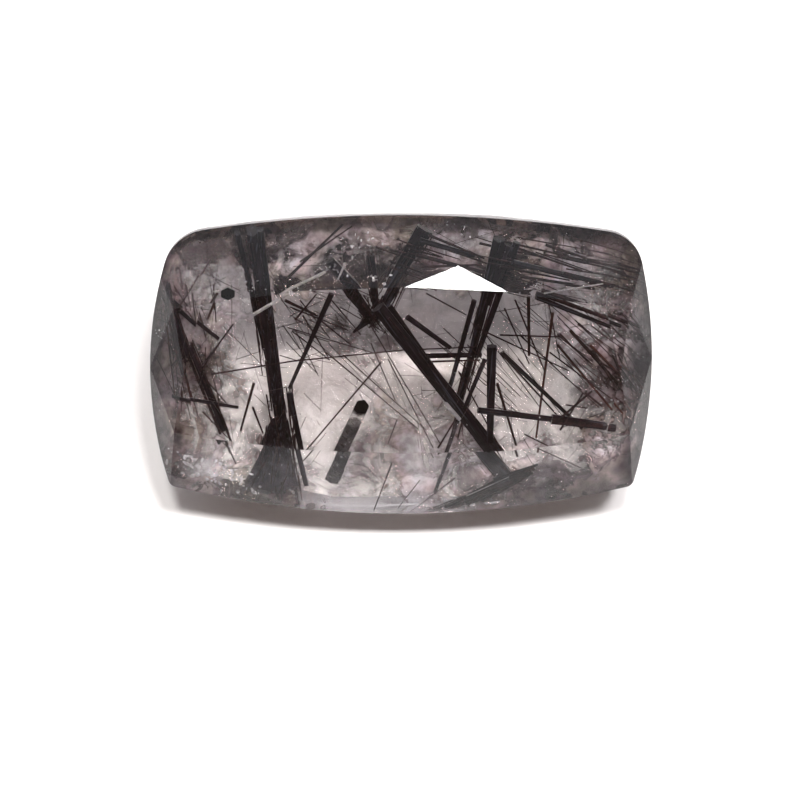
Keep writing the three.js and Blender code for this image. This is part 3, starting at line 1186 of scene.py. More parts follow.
@dataclass
class FineNeedles:
    """The needles too fine for solids of their own: single ones where the photograph has them, and bunches.

    Args:
        name: the piece's name.
        slot: its material slot; not used.
        finish: its finish.
        rods: single needles.
        bunches: bunches of hairs.
        sides: sides of a needle.
        skin: how far below the surface they end, in millimetres.
        shortest: a needle left shorter than this is dropped, in millimetres.
    """

    name: str
    slot: Slot
    finish: NeedleFinish
    rods: tuple[FineRod, ...] = ()
    bunches: tuple[HairBunch | Fringe, ...] = ()
    sides: int = 5
    skin: float = 0.04
    shortest: float = 0.15

    def build(self, stone: QuartzStone) -> bpy.types.Object:
        """Makes the needles inside a stone.

        Args:
            stone: the stone that holds them.

        Returns:
            The finished piece.
        """
        points: list[Vector] = []
        edges: list[tuple[int, int]] = []
        widths: list[float] = []
        for rod in [*self.rods, *(rod for bunch in self.bunches for rod in bunch.rods())]:
            self._add_rod(rod, stone, points, edges, widths)
        mesh = bpy.data.meshes.new(self.name + "_lines")
        mesh.from_pydata(points, edges, [])
        mesh.attributes.new(RodTree.WIDTH, "FLOAT", "POINT").data.foreach_set("value", widths)
        material = self.finish.material(self.name + "_finish")
        inputs = {"Sides": self.sides, "Thickness": 1.0, "Material": material}
        return grown_piece(self.name, mesh, RodTree.tree(), inputs)

    def _add_rod(self, rod: FineRod, stone: QuartzStone, points: list[Vector],
                 edges: list[tuple[int, int]], widths: list[float]) -> None:
        """Adds one needle's points, edges and widths, as far as it lies inside the stone.

        Args:
            rod: the needle.
            stone: the stone that holds it.
            points: all points so far.
            edges: all edges so far.
            widths: the width at each point so far, in metres.
        """
        run = [stone.cutting.place(place) for place in rod.run]
        pieces = [stone.clip(start, end, self.skin * MM) for start, end in zip(run, run[1:])]
        kept = [piece for piece in pieces if piece and (piece[1] - piece[0]).length > self.shortest * MM]
        if not kept:
            return
        line = [kept[0][0]] + [piece[1] for piece in kept]
        first = len(points)
        points.extend(line)
        edges.extend((first + i, first + i + 1) for i in range(len(line) - 1))
        for step in range(len(line)):
            share = step / (len(line) - 1)
            widths.append(rod.width * MM * (1 + (rod.taper - 1) * share))


@dataclass(frozen=True)
class VeilPatch:
    """A scatter of flakes on one slanted sheet, in millimetres and degrees.

    Args:
        middle: the middle of the sheet.
        reach: half its size along its heading, across it and through it.
        heading: the compass way of its long side.
        lean: how far it leans about that way.
        size: smallest and largest flake.
        scatter: how far a flake may turn from the sheet.
        count: how many flakes.
        seed: where its random numbers start.
    """

    # How wide a flake may be, as a share of its length.
    NARROWING = (0.3, 0.9)

    middle: Place
    reach: Place
    heading: float
    lean: float
    size: tuple[float, float]
    scatter: float
    count: int
    seed: int

    def flakes(self) -> list[tuple[Vector, Vector, Vector]]:
        """Returns each flake's place and size in millimetres, and its turn as Euler angles in radians."""
        draw = random.Random(self.seed)
        sheet = (Matrix.Rotation(math.radians(self.heading), 3, "Z")
                 @ Matrix.Rotation(math.radians(self.lean), 3, "X"))
        flakes = []
        for _ in range(self.count):
            offset = sheet @ Vector([draw.gauss(0, r / 2) for r in self.reach])
            turn = [math.radians(draw.uniform(-self.scatter, self.scatter)) for _ in range(2)]
            spin = (Matrix.Rotation(turn[0], 3, "X") @ Matrix.Rotation(turn[1], 3, "Y")
                    @ Matrix.Rotation(draw.uniform(0, math.tau), 3, "Z"))
            wide = draw.uniform(*self.size)
            size = Vector((wide, wide * draw.uniform(*self.NARROWING), wide))
            flakes.append((Vector(self.middle) + offset, size, (sheet @ spin).to_euler()))
        return flakes


@dataclass
class GlintVeils:
    """Healed cracks with painted glints: thin flakes on slanted sheets inside the stone, coloured by their
    finish.

    Args:
        name: the piece's name.
        finish: its finish.
        patches: its sheets.
        thickness: a flake's thickness as a share of its size.
        skin: how far below the surface a flake's middle stays, in millimetres.
    """

    name: str
    finish: GlintVeilFinish
    patches: tuple[VeilPatch, ...]
    thickness: float = 0.06
    skin: float = 0.12

    def build(self, stone: QuartzStone) -> bpy.types.Object:
        """Makes the flakes inside a stone.

        Args:
            stone: the stone that holds them.

        Returns:
            The finished piece.
        """
        turn_down = stone.cutting.to_world.to_3x3()
        points, sizes, turns = [], [], []
        for place, size, turn in (flake for patch in self.patches for flake in patch.flakes()):
            point = stone.cutting.place(tuple(place))
            room = max(size) / 2 * MM + self.skin * MM
            if any((point - face).dot(normal) > -room for normal, face in stone.planes):
                continue
            points.append(point)
            sizes.extend(size * MM)
            turns.extend((turn_down @ turn.to_matrix()).to_euler())
        mesh = bpy.data.meshes.new(self.name + "_points")
        mesh.from_pydata(points, [], [])
        mesh.attributes.new(FlakeTree.TURN, "FLOAT_VECTOR", "POINT").data.foreach_set("vector", turns)
        mesh.attributes.new(FlakeTree.SIZE, "FLOAT_VECTOR", "POINT").data.foreach_set("vector", sizes)
        inputs = {"Thickness": self.thickness, "Material": self.finish.material(self.name + "_finish")}
        return grown_piece(self.name, mesh, FlakeTree.tree(), inputs)


@dataclass(frozen=True)
class CloudSpot:
    """A cloudy place on a sheet, in millimetres in the cutting frame.

    Args:
        x: its middle along the stone.
        y: its middle across the stone.
        reach: how far it spreads along and across the stone.
        thickness: how much of it is seen. At 1 it is seen through in places, and at 3 nowhere.
        tone: how pale it is, from 0 to 1.
    """

    # What is cut off its bell-shaped weight at the foot, and how fast the rest rises to 1.
    EDGE = 0.2
    STEEPNESS = 2

    x: float
    y: float
    reach: tuple[float, float]
    thickness: float
    tone: float

    def weight(self, x: float, y: float) -> float:
        """Returns how strongly the spot is felt at a point, from 0 to 1."""
        spread = ((x - self.x) / self.reach[0]) ** 2 + ((y - self.y) / self.reach[1]) ** 2
        return min(1.0, max(0.0, (math.exp(-spread) - self.EDGE) * self.STEEPNESS))


@dataclass
class CloudSheet:
    """A wavy sheet of cloudy quartz right across the stone.

    Args:
        name: the piece's name.
        level: its height in the cutting frame, in millimetres.
        wave: how far it swings up and down, in millimetres.
        wave_length: distance between its waves, in millimetres.
        thickness: how much of it is seen where no spot is.
        tone: how pale it is where no spot is.
        spots: its cloudy places.
        step: size of its faces, in millimetres.
        half_length: half the length that it is made from, in millimetres.
        half_width: half the width that it is made from, in millimetres.
        skin: how far below the stone's surface it ends, in millimetres.
        thinnest: where it would be thinner than this it is left out.
        snap: corners nearer to the stone's surface than this are moved onto it, in metres.
        slants: how the waves along and across the stone turn aside, in radians a millimetre.
        cross: how many waves there are across the stone for each along it.
        ragged: how its spots' edges wander: the rate for each millimetre, and how far, in millimetres.
        seed: where the random numbers of that wandering start. 0 would take the clock.
        finish: its finish.
    """

    name: str
    level: float
    wave: float
    wave_length: float
    thickness: float
    tone: float
    spots: tuple[CloudSpot, ...]
    step: float = 0.16
    half_length: float = 10.2
    half_width: float = 6.3
    skin: float = 0.05
    thinnest: float = 0.01
    snap: float = 1e-7
    slants: tuple[float, float] = (0.6, -0.5)
    cross: float = 1.4
    ragged: tuple[tuple[float, float], ...] = ((1.0, 0.7), (3.0, 0.25))
    seed: int = 1796092484
    finish: CloudFinish = CloudFinish()

    def build(self, stone: QuartzStone) -> bpy.types.Object:
        """Makes the sheet inside a stone.

        Args:
            stone: the stone that holds it.

        Returns:
            The finished piece.
        """
        noise.seed_set(self.seed)
        shape = bmesh.new()
        columns = round(2 * self.half_length / self.step)
        rows = round(2 * self.half_width / self.step)
        bmesh.ops.create_grid(shape, x_segments=columns, y_segments=rows, size=1.0)
        thickness = shape.verts.layers.float.new(CloudFinish.THICKNESS)
        tone = shape.verts.layers.float.new(CloudFinish.TONE)
        for vertex in shape.verts:
            x, y = vertex.co.x * self.half_length, vertex.co.y * self.half_width
            vertex[thickness], vertex[tone] = self._values(x, y)
            vertex.co = stone.cutting.place((x, y, self._height(x, y)))
        clear = [face for face in shape.faces
                 if all(vertex[thickness] < self.thinnest for vertex in face.verts)]
        bmesh.ops.delete(shape, geom=clear, context="FACES")
        for normal, point in stone.planes:
            bmesh.ops.bisect_plane(shape, geom=shape.verts[:] + shape.edges[:] + shape.faces[:],
                                   plane_co=point - normal * self.skin * MM, plane_no=normal,
                                   clear_outer=True, dist=self.snap)
        for face in shape.faces:
            face.smooth = True
        mesh = bpy.data.meshes.new(self.name)
        shape.to_mesh(mesh)
        shape.free()
        mesh.materials.append(self.finish.material(self.name + "_finish"))
        return joined_to_stone(placed(self.name, mesh))

    def _height(self, x: float, y: float) -> float:
        """Works out the sheet's height at a point.

        Args:
            x: place along the stone, in millimetres.
            y: place across the stone, in millimetres.

        Returns:
            The height in the cutting frame, in millimetres.
        """
        turn = math.tau / self.wave_length
        swing = math.sin(x * turn + self.slants[0] * y) + math.sin(y * turn * self.cross + self.slants[1] * x)
        return self.level + self.wave * swing / 2

    def _values(self, x: float, y: float) -> tuple[float, float]:
        """Mixes the spots at a point.

        Args:
            x: place along the stone, in millimetres.
            y: place across the stone, in millimetres.

        Returns:
            How thick and how pale the sheet is there.
        """
        thickness, tone = self.thickness, self.tone
        place, aside = Vector((x, y, self.level)), Vector((0, 0, 0))
        for rate, reach in self.ragged:
            aside += noise.noise_vector(place * rate) * reach
        x, y = x + aside.x, y + aside.y
        for spot in self.spots:
            weight = spot.weight(x, y)
            thickness += (spot.thickness - thickness) * weight
            tone += (spot.tone - tone) * weight
        return thickness, tone


@dataclass(frozen=True)
class Lamp:
    """A soft square lamp.

    Args:
        name: its name.
        way: the way to it from the stone.
        distance: how far it hangs from the stone, in metres.
        size: its side, in metres.
        watts: its power.
        colour: its colour.
    """

    name: str
    way: Place
    distance: float
    size: float
    watts: float
    colour: Colour

    def hang(self, target: Vector) -> None:
        """Hangs the lamp so that it points at a target.

        Args:
            target: what it points at, in metres.
        """
        way = Vector(self.way).normalized()
        data = bpy.data.lights.new(self.name, "AREA")
        data.size = self.size
        data.energy = self.watts
        data.color = self.colour
        lamp = placed(self.name, data)
        lamp.location = target + way * self.distance
        lamp.rotation_euler = way.to_track_quat("Z", "Y").to_euler()


@dataclass(frozen=True)
class RoomLight:
    """The pale light of the room by the way it comes from.

    Args:
        warm: colour of the light from the front.
        cool: colour of the light from behind.
        front: strength of the light from the front.
        back: strength of the light from behind.
        strength_range: the ways, from front to back, between which the strength changes.
        colour_range: the ways, from front to back, between which the colour changes.
    """

    warm: Colour = (1.0, 0.7, 0.58)
    cool: Colour = (0.97, 0.95, 1.0)
    front: float = 0.18
    back: float = 0.85
    strength_range: tuple[float, float] = (-0.3, 0.8)
    colour_range: tuple[float, float] = (-0.6, 0.3)

    def set(self) -> None:
        """Makes the world of the scene."""
        world = bpy.data.worlds.new("room")
        world.use_nodes = True
        sketch = NodeSketch(world.node_tree)
        way = sketch.add("ShaderNodeTexCoord").outputs["Generated"]
        back = sketch.add("ShaderNodeSeparateXYZ", {"Vector": way}).outputs["Y"]
        strength = sketch.spread(back, self.front, self.back, *self.strength_range)
        side = sketch.spread(back, 0.0, 1.0, *self.colour_range)
        colour = sketch.ramp(side, [(0.0, self.warm), (1.0, self.cool)])
        light = sketch.add("ShaderNodeBackground", {"Color": colour, "Strength": strength})
        sketch.add("ShaderNodeOutputWorld", {"Surface": light.outputs["Background"]})
        bpy.context.scene.world = world


@dataclass
class Studio:
    """White paper, soft lamps, a pale room and the camera.

    Args:
        floor_size: side of the paper, in metres.
        floor_gap: thin air under the facet that the stone lies on, in metres.
        view_width: what the picture's width covers at the stone, in metres.
        view_distance: from the camera to the stone, in metres.
        view_elevation: how high the camera stands, in degrees.
        aim: what the camera looks at, in millimetres in the cutting frame.
        sensor: width of the camera's sensor, in millimetres.
        clip: nearest and farthest distance that the camera sees, in metres.
        room: the light of the room.
        lamps: the soft lamps over the stone.
        glint_facet: the facet that mirrors a small lamp, by a place near its middle, in millimetres.
        glint: that lamp. Its way is found when it is hung.
        paper: the finish of the paper.
    """

    floor_size: float = 1.6
    floor_gap: float = 0.03 * MM
    view_width: float = 31.87 * MM
    view_distance: float = 0.25
    view_elevation: float = 68.0
    aim: Place = (-0.04, -1.385, 0.195)
    sensor: float = 36.0
    clip: tuple[float, float] = (0.01, 10.0)
    room: RoomLight = RoomLight()
    lamps: tuple[Lamp, ...] = (
        Lamp("lamp_left", (-0.13, 0.03, 1.0), 0.3, 0.045, 0.49, (1.0, 0.97, 0.94)),
        Lamp("lamp_middle", (0.14, 0.03, 1.0), 0.3, 0.045, 0.49, (1.0, 0.97, 0.94)),
        Lamp("lamp_right", (0.42, 0.05, 0.9), 0.3, 0.06, 0.68, (1.0, 0.97, 0.97)),
    )
    glint_facet: Place = (2.2, 3.6, 1.3)
    glint: Lamp = Lamp("lamp_glint", (0.0, 0.0, 1.0), 0.3, 0.02, 0.05, (1.0, 1.0, 1.0))
    paper: PaperFinish = PaperFinish()

    def build(self, stone: QuartzStone) -> None:
        """Sets up the paper, the room, the lamps and the camera round a stone.

        Args:
            stone: the stone that is shown.
        """
        self._lay_paper()
        self.room.set()
        eye = self._set_camera(stone)
        normal, middle = stone.facet_at(self.glint_facet)
        to_eye = (eye - middle).normalized()
        replace(self.glint, way=tuple(2 * normal.dot(to_eye) * normal - to_eye)).hang(middle)
        for lamp in self.lamps:
            lamp.hang(Vector((0, 0, 0)))

    def _lay_paper(self) -> None:
        """Lays the paper under the stone."""
        mesh = bpy.data.meshes.new("paper")
        half = self.floor_size / 2
        corners = [(x * half, y * half, -self.floor_gap) for x, y in ((-1, -1), (1, -1), (1, 1), (-1, 1))]
        mesh.from_pydata(corners, [], [(0, 1, 2, 3)])
        mesh.materials.append(self.paper.material("paper"))
        floor = placed("paper", mesh)

    def _set_camera(self, stone: QuartzStone) -> Vector:
        """Sets the camera where the photograph was taken from.

        Args:
            stone: the stone that is shown.

        Returns:
            The camera's place.
        """
        rise = math.radians(self.view_elevation)
        back = Vector((0, -math.cos(rise), math.sin(rise)))
        target = stone.cutting.place(self.aim)
        data = bpy.data.cameras.new("camera")
        data.sensor_width = self.sensor
        data.lens = self.sensor * self.view_distance / self.view_width
        data.clip_start, data.clip_end = self.clip
        camera = placed("camera", data)
        camera.location = target + back * self.view_distance
        camera.rotation_euler = back.to_track_quat("Z", "Y").to_euler()
        bpy.context.scene.camera = camera
        return camera.location


HAIR_BLACK = NeedleFinish((0.006, 0.003, 0.004), (0.02, 0.012, 0.014), (0.03, 0.013, 0.014))

SINGLE_NEEDLES = (
    FineRod(((-7.53, 4.23, 0.3), (-8.39, 2.48, -0.2), (-9.57, 0.6, -0.5)), 0.09),
    FineRod(((-6.66, 1.73, 0.4), (-8.04, -0.16, -0.6)), 0.08),
    FineRod(((-7.55, -0.33, -0.3), (-4.33, 0.21, -0.1), (0.05, 0.68, 0.2), (2.9, 0.83, 0.5)), 0.07),
    FineRod(((-2.97, 0.63, 0.6), (0.68, -2.55, -0.5)), 0.06),
    FineRod(((-0.79, 0.24, 0.7), (-3.91, -3.56, -0.4)), 0.08),
    FineRod(((-0.51, 0.33, 0.3), (1.28, -3.34, -0.8)), 0.05),
    FineRod(((-1.19, 0.95, 0.1), (-0.24, -1.38, -0.5)), 0.05),
    FineRod(((-0.36, -3.59, -0.3), (-1.08, -5.75, -0.9)), 0.07),
    FineRod(((-0.16, -2.12, 0.2), (-0.52, -3.13, -0.3)), 0.06),
    FineRod(((6.33, -2.52, 0.3), (7.25, -1.09, -0.4)), 0.09),
    FineRod(((6.56, -1.51, 0.3), (7.41, -1.68, -0.2)), 0.07),
    FineRod(((-4.0, 4.16, 0.6), (-1.94, 5.53, 0.0)), 0.09),
    FineRod(((-4.46, 3.5, 0.6), (-2.2, 5.75, 0.1)), 0.13),
    FineRod(((-4.5, 1.6, 0.4), (-1.15, 0.55, -0.2)), 0.05),
    FineRod(((-4.6, 2.7, 0.6), (-3.3, 2.05, 0.2)), 0.14),
    FineRod(((-4.2, 1.9, 0.3), (-3.35, 2.95, 0.6)), 0.09),
    FineRod(((-3.9, 2.1, 0.5), (-2.9, 0.4, 0.0)), 0.07),
    FineRod(((-3.2, 1.9, 0.5), (-2.0, 0.9, 0.2)), 0.07),
    FineRod(((-2.9, 2.9, 0.7), (-1.6, 1.3, 0.2)), 0.06),
    FineRod(((-2.3, 0.5, 0.3), (1.0, -2.6, -0.6)), 0.05),
    FineRod(((-1.2, 1.7, 0.5), (1.6, -3.2, -0.4)), 0.05),
    FineRod(((-5.9, -1.6, 0.2), (-5.5, -2.7, -0.3)), 0.1),
    FineRod(((5.55, 2.95, 0.5), (9.35, 1.5, -0.1)), 0.2),
    # The next six thicken needle_level_right, needle_front_diagonal and needle_left_rod.
    FineRod(((6.0, -2.17, -0.1), (6.9, -2.3, -0.2), (8.05, -2.42, -0.4)), 0.26),
    FineRod(((5.3, -3.9, 0.4), (4.2, -4.5, 0.15), (2.2, -5.5, -0.4)), 0.3),
    FineRod(((5.2, -4.05, 0.38), (4.2, -4.72, 0.1), (2.6, -5.5, -0.35)), 0.34),
    FineRod(((4.9, -4.3, 0.3), (4.0, -4.92, 0.0), (3.2, -5.35, -0.25)), 0.26),
    FineRod(((-9.25, 2.5, 0.3), (-7.2, -2.78, -0.7)), 0.15),
    FineRod(((-8.95, 2.5, 0.35), (-6.92, -2.6, -0.7)), 0.13),
    FineRod(((6.2, -2.2, 0.0), (7.6, -0.95, 0.2)), 0.12),
    FineRod(((7.3, -1.0, 0.2), (8.0, -1.6, 0.0)), 0.1),
    FineRod(((-8.0, -0.2, 0.1), (-6.7, 1.7, 0.5)), 0.07),
    FineRod(((-9.8, 1.9, 0.1), (-8.6, 1.6, 0.0)), 0.1),
    FineRod(((-7.9, -1.8, 0.0), (-6.9, -2.9, -0.4)), 0.06),
    FineRod(((3.95, 0.6, 0.5), (6.4, -2.2, -0.6)), 0.09),
    FineRod(((4.1, 2.4, 0.6), (5.1, 0.1, 0.0)), 0.07),
    FineRod(((4.7, 1.3, 0.3), (7.9, -1.7, -0.5)), 0.06),
    FineRod(((3.2, 1.5, 0.4), (6.7, -0.2, -0.3)), 0.07),
    FineRod(((5.9, 0.6, 0.2), (8.6, -1.5, -0.5)), 0.07),
    FineRod(((7.6, 0.7, 0.2), (8.4, -0.6, -0.2)), 0.12),
    FineRod(((7.9, 0.2, 0.3), (9.5, -0.7, -0.3)), 0.09),
    FineRod(((8.4, 0.5, 0.2), (9.3, -1.6, -0.5)), 0.07),
    FineRod(((4.9, -2.7, 0.1), (7.2, -3.9, -0.5)), 0.06),
    FineRod(((2.3, -0.2, 0.2), (4.0, -3.4, -0.6)), 0.07),
    FineRod(((1.0, 3.0, 0.8), (2.6, 2.1, 0.4)), 0.07),
    FineRod(((0.6, 4.4, 0.4), (3.4, 3.6, 0.3)), 0.18),
    FineRod(((0.8, 3.9, 0.5), (3.1, 3.95, 0.3)), 0.12),
    FineRod(((1.1, 5.2, 0.2), (3.3, 4.2, 0.2)), 0.12),
    FineRod(((-4.4, 2.46, 0.9), (-2.1, 1.47, 0.1)), 0.07),
    FineRod(((-4.32, 1.48, 0.7), (-2.82, 0.28, 0.2)), 0.06),
    FineRod(((-4.0, 2.69, 0.4), (-2.82, 1.08, -0.6)), 0.06),
    FineRod(((5.83, 2.71, 0.5), (6.33, 0.22, -0.6)), 0.06),
    FineRod(((4.52, 2.74, 0.8), (5.73, -0.24, -0.3)), 0.08),
    FineRod(((3.93, 1.31, 0.5), (6.32, 1.16, -0.4)), 0.08),
    FineRod(((0.56, 0.16, -0.2), (3.15, 0.19, -0.9)), 0.1),
    FineRod(((-6.18, -5.13, -0.2), (-5.22, -3.21, -0.9)), 0.1),
    FineRod(((0.76, -4.45, 0.3), (-0.12, -5.74, 0.0)), 0.05),
    FineRod(((2.15, -4.35, 0.2), (0.36, -5.9, -0.3)), 0.06),
    FineRod(((1.47, -3.26, 0.1), (2.15, -2.19, -0.5)), 0.08),
    FineRod(((-9.63, 2.12, 0.0), (-8.77, 1.84, -0.4)), 0.09),
    FineRod(((-8.84, 0.02, 0.2), (-7.99, 0.54, -0.4)), 0.08),
)

HAIR_BUNCHES = (
    HairBunch((7.9, 0.4, -0.3), (1.2, 1.4, 0.8), -43, 10, 7, (1.0, 3.0), (0.02, 0.055), 24, 11),
    HairBunch((6.6, 3.7, 0.0), (2.6, 1.1, 0.5), -17, 8, 6, (1.5, 4.0), (0.04, 0.14), 34, 12),
    HairBunch((4.8, 0.2, -0.2), (1.8, 1.6, 0.7), -48, 10, 8, (2.0, 5.0), (0.02, 0.05), 18, 13),
    HairBunch((1.6, 4.0, 0.0), (1.8, 1.0, 0.4), -20, 8, 8, (1.0, 2.6), (0.05, 0.12), 14, 14),
    HairBunch((-8.2, 1.0, -0.2), (1.0, 2.4, 0.6), -68, 15, 25, (0.8, 2.4), (0.03, 0.06), 18, 15),
    HairBunch((-2.6, 1.8, 0.0), (1.8, 1.6, 0.8), -35, 12, 30, (0.8, 2.6), (0.025, 0.05), 26, 16),
    HairBunch((0.0, 0.0, -0.8), (9.0, 5.0, 1.6), -50, 20, 80, (0.6, 3.0), (0.015, 0.035), 240, 17),
)

FRINGES = (
    Fringe((-6.1, 5.6, 0.15), (-4.8, -2.9, -1.6), 0.42, 2.5, (0.5, 2.2), (0.04, 0.1), 46, 31),
    Fringe((-4.9, -2.3, -1.5), (-5.2, -4.95, -0.75), 0.65, 14, (0.5, 1.6), (0.03, 0.08), 34, 32),
    Fringe((4.15, 5.0, 0.2), (2.3, -1.85, -1.3), 0.36, 3, (0.5, 2.4), (0.03, 0.09), 40, 33),
    Fringe((-0.9, 2.45, 0.9), (4.1, -4.05, -1.8), 0.32, 2.5, (0.5, 2.0), (0.03, 0.08), 40, 34),
    Fringe((0.95, 5.3, -0.45), (-0.8, 2.2, -0.6), 0.5, 9, (0.4, 1.6), (0.04, 0.1), 34, 35),
    Fringe((-2.8, 4.15, 0.35), (-1.05, 1.75, -0.7), 0.34, 6, (0.4, 1.4), (0.03, 0.09), 26, 36),
    Fringe((-1.2, 4.6, 0.4), (-0.95, 1.9, -0.6), 0.34, 6, (0.3, 1.2), (0.03, 0.09), 20, 37),
    Fringe((5.3, -3.9, 0.45), (1.95, -5.55, -0.55), 0.26, 4, (0.4, 1.6), (0.03, 0.08), 24, 38),
    Fringe((3.05, -1.7, 0.45), (8.2, -2.47, -0.9), 0.14, 5, (0.3, 1.2), (0.03, 0.07), 20, 39),
    Fringe((-9.3, 3.3, 0.45), (-7.05, -2.65, -0.8), 0.17, 3, (0.4, 1.6), (0.05, 0.1), 24, 40),
    Fringe((-4.5, -0.6, -0.4), (-4.1, -4.9, -0.9), 0.14, 3, (0.6, 1.6), (0.03, 0.07), 22, 41),
)

UPPER_CLOUDS = (
    CloudSpot(-8.6, 4.2, (1.5, 1.2), 0.4, 0.3),
    CloudSpot(8.8, 3.6, (1.4, 1.4), 0.4, 0.25),
    CloudSpot(-0.8, -5.4, (2.6, 0.4), 0.3, 0.85),
)

MIDDLE_CLOUDS = (
    CloudSpot(-9.0, -0.6, (1.7, 5.4), 0.8, 0.4),
    CloudSpot(9.2, -1.2, (1.8, 5.4), 1.1, 0.3),
    # The next two spots are painted shade: dark, nearly opaque sheets across both ends that darken the end
    # facets.
    CloudSpot(-9.9, 0.0, (1.2, 7.0), 2.5, 0.0),
    CloudSpot(10.0, 0.0, (1.3, 7.0), 2.5, 0.0),
    CloudSpot(9.3, -3.6, (0.9, 1.6), 1.6, 0.05),
    CloudSpot(6.6, -5.2, (3.6, 1.0), 1.4, 0.08),
    CloudSpot(2.9, -5.4, (2.0, 0.6), 0.9, 0.2),
    CloudSpot(-4.6, -5.2, (1.3, 0.7), 0.9, 0.25),
    CloudSpot(-7.6, -5.0, (2.0, 0.7), 0.8, 0.62),
)

LOWER_CLOUDS = (
    CloudSpot(-5.0, 4.9, (4.6, 1.3), 0.9, 0.5),
    CloudSpot(-4.2, 2.9, (1.8, 0.8), 1.0, 0.95),
    CloudSpot(7.2, 2.8, (2.4, 0.9), 0.9, 0.85),
    CloudSpot(-1.2, 0.6, (1.9, 0.5), 0.55, 0.4),
    CloudSpot(-0.9, -3.9, (1.5, 0.9), 0.7, 0.42),
    CloudSpot(1.5, 4.6, (4.0, 1.5), 0.9, 0.52),
    CloudSpot(7.0, 4.2, (3.4, 1.6), 0.95, 0.78),
    CloudSpot(-2.4, 2.1, (2.8, 1.1), 0.35, 0.6),
    CloudSpot(-2.0, 1.4, (0.9, 0.7), 0.6, 0.25),
    CloudSpot(-8.3, 1.4, (2.0, 2.6), 0.8, 0.6),
    CloudSpot(-7.0, 0.2, (1.1, 2.0), 0.3, 0.6),
    CloudSpot(0.5, -3.6, (3.0, 2.2), 0.6, 0.47),
    CloudSpot(2.2, -4.5, (2.1, 1.4), 0.8, 0.36),
    CloudSpot(-0.6, -5.2, (3.2, 0.7), 0.5, 0.6),
    CloudSpot(9.1, 0.8, (2.3, 3.0), 1.2, 0.42),
    CloudSpot(6.9, 1.2, (1.4, 1.6), 0.5, 0.55),
    CloudSpot(7.9, 0.4, (1.0, 0.8), 0.9, 0.2),
    CloudSpot(7.6, -4.6, (4.0, 1.5), 1.3, 0.1),
    CloudSpot(5.1, -3.5, (0.8, 0.5), 0.8, 0.75),
    CloudSpot(6.3, -2.5, (1.4, 0.5), 0.35, 0.8),
    CloudSpot(-9.0, -0.9, (2.3, 3.2), 0.9, 0.5),
    CloudSpot(-8.4, 4.1, (1.6, 1.0), 0.9, 0.35),
    CloudSpot(-4.9, -4.1, (1.3, 1.6), 0.9, 0.24),
    CloudSpot(-7.6, -3.4, (2.2, 1.0), 0.6, 0.6),
)

# Pale streaks: their whitish colour is partly their own and partly a painted highlight, where a feather or
# needle catches the light.
THREAD_PALE = NeedleFinish((0.28, 0.27, 0.29), (0.6, 0.59, 0.62), (0.4, 0.38, 0.36), roughness=0.3)

PALE_THREADS = (
    FineRod(((-5.9, 2.1, 0.5), (-4.4, 3.0, 0.6), (-3.0, 3.75, 0.7)), 0.15),
    FineRod(((5.65, 2.9, 0.8), (8.0, 3.25, 0.5)), 0.06),
    FineRod(((2.6, -5.2, 0.2), (4.3, -4.35, 0.5)), 0.04),
    FineRod(((-2.2, 4.1, 0.6), (-2.5, 3.4, 0.6)), 0.09),
    FineRod(((1.75, -1.45, 0.3), (2.35, -2.1, 0.3)), 0.2),
)

# White, glossy flakes: painted glints, where cracks inside the stone catch the light.
GLINT_FLAKES = GlintVeilFinish((0.9, 0.9, 0.95), 1.0, 0.15)
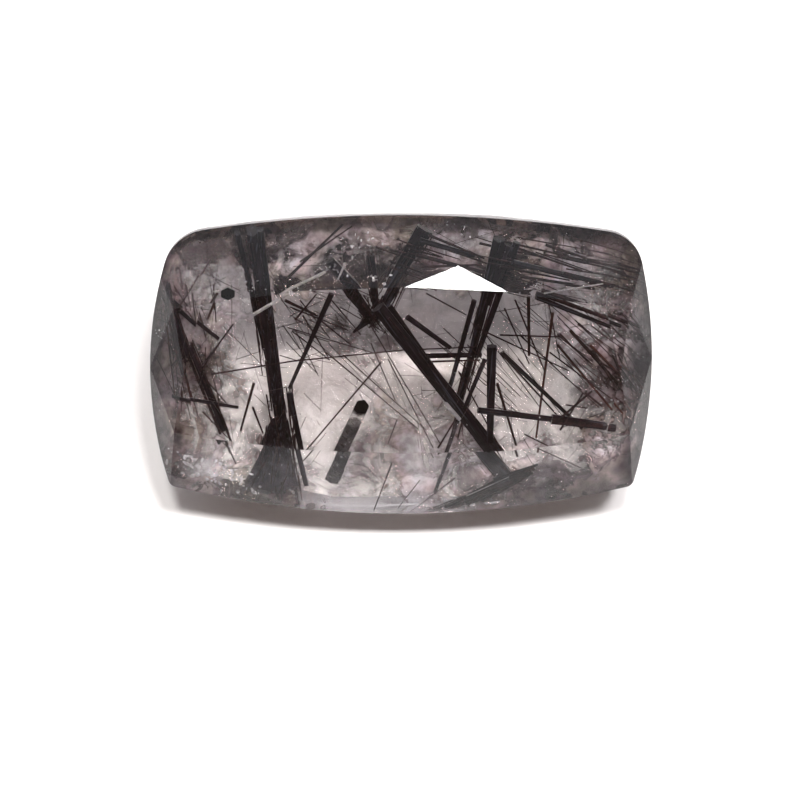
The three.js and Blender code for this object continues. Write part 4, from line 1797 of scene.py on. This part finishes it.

# Where the painted glints lie. The third and fourth sheets are painted highlights on the back needles.
GLINT_PATCHES = (
    VeilPatch((-7.3, -4.3, -0.1), (2.0, 0.9, 0.4), -25, 10, (0.06, 0.32), 40, 80, 51),
    VeilPatch((-1.3, 5.0, 0.2), (0.7, 0.9, 0.3), 70, 0, (0.05, 0.2), 40, 34, 52),
    VeilPatch((-0.9, 3.45, 0.65), (0.25, 0.4, 0.1), 80, 0, (0.08, 0.22), 30, 9, 53),
    VeilPatch((-2.6, 3.85, 0.6), (0.4, 0.15, 0.1), -30, 0, (0.06, 0.2), 30, 7, 54),
    VeilPatch((-4.2, 3.05, 1.0), (1.2, 0.15, 0.15), 0, 0, (0.03, 0.12), 40, 20, 55),
    VeilPatch((5.2, 3.25, 0.9), (0.6, 0.35, 0.2), 20, 0, (0.03, 0.13), 50, 24, 56),
    VeilPatch((-6.0, 3.2, 0.9), (0.4, 0.3, 0.15), 40, 0, (0.03, 0.12), 50, 12, 57),
    VeilPatch((-9.5, 1.2, -0.1), (0.3, 0.6, 0.2), 90, 0, (0.04, 0.14), 40, 12, 58),
    VeilPatch((8.6, 2.8, 0.2), (1.6, 1.2, 0.3), -20, 0, (0.03, 0.1), 50, 34, 59),
    VeilPatch((0.0, -0.2, -0.3), (14.0, 7.5, 1.4), 0, 0, (0.02, 0.1), 60, 170, 60),
    VeilPatch((8.3, -1.0, -0.3), (1.0, 2.4, 0.6), -50, 0, (0.03, 0.1), 50, 34, 61),
    VeilPatch((3.5, 5.0, 0.0), (5.0, 0.7, 0.5), -10, 0, (0.03, 0.12), 50, 44, 62),
)


def main() -> None:
    """Builds the stone, its needles, hairs and clouds, and the studio, in that order."""
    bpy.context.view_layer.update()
    logging.basicConfig(level=logging.INFO, format="%(message)s")
    bpy.context.scene.view_settings.view_transform = "Standard"
    for setting, value in LIGHT_PATHS.items():
        setattr(bpy.context.scene.cycles, setting, value)
    stone = QuartzStone()
    stone.build()
    NeedleSet().dress(stone)
    FineNeedles("fine_needles", Slot.NEEDLE_BLACK, HAIR_BLACK, SINGLE_NEEDLES,
                HAIR_BUNCHES + FRINGES).build(stone)
    FineNeedles("pale_threads", Slot.QUARTZ, THREAD_PALE, PALE_THREADS).build(stone)
    CloudSheet("cloud_upper", 0.35, 0.25, 5.0, 0.0, 0.7, UPPER_CLOUDS).build(stone)
    CloudSheet("cloud_middle", -0.95, 0.08, 5.0, 0.0, 0.5, MIDDLE_CLOUDS).build(stone)
    CloudSheet("cloud_lower", -1.9, 0.12, 6.0, 0.2, 0.6, LOWER_CLOUDS).build(stone)
    GlintVeils("glitter", GLINT_FLAKES, GLINT_PATCHES).build(stone)
    Studio().build(stone)


if __name__ == "__main__":
    main()
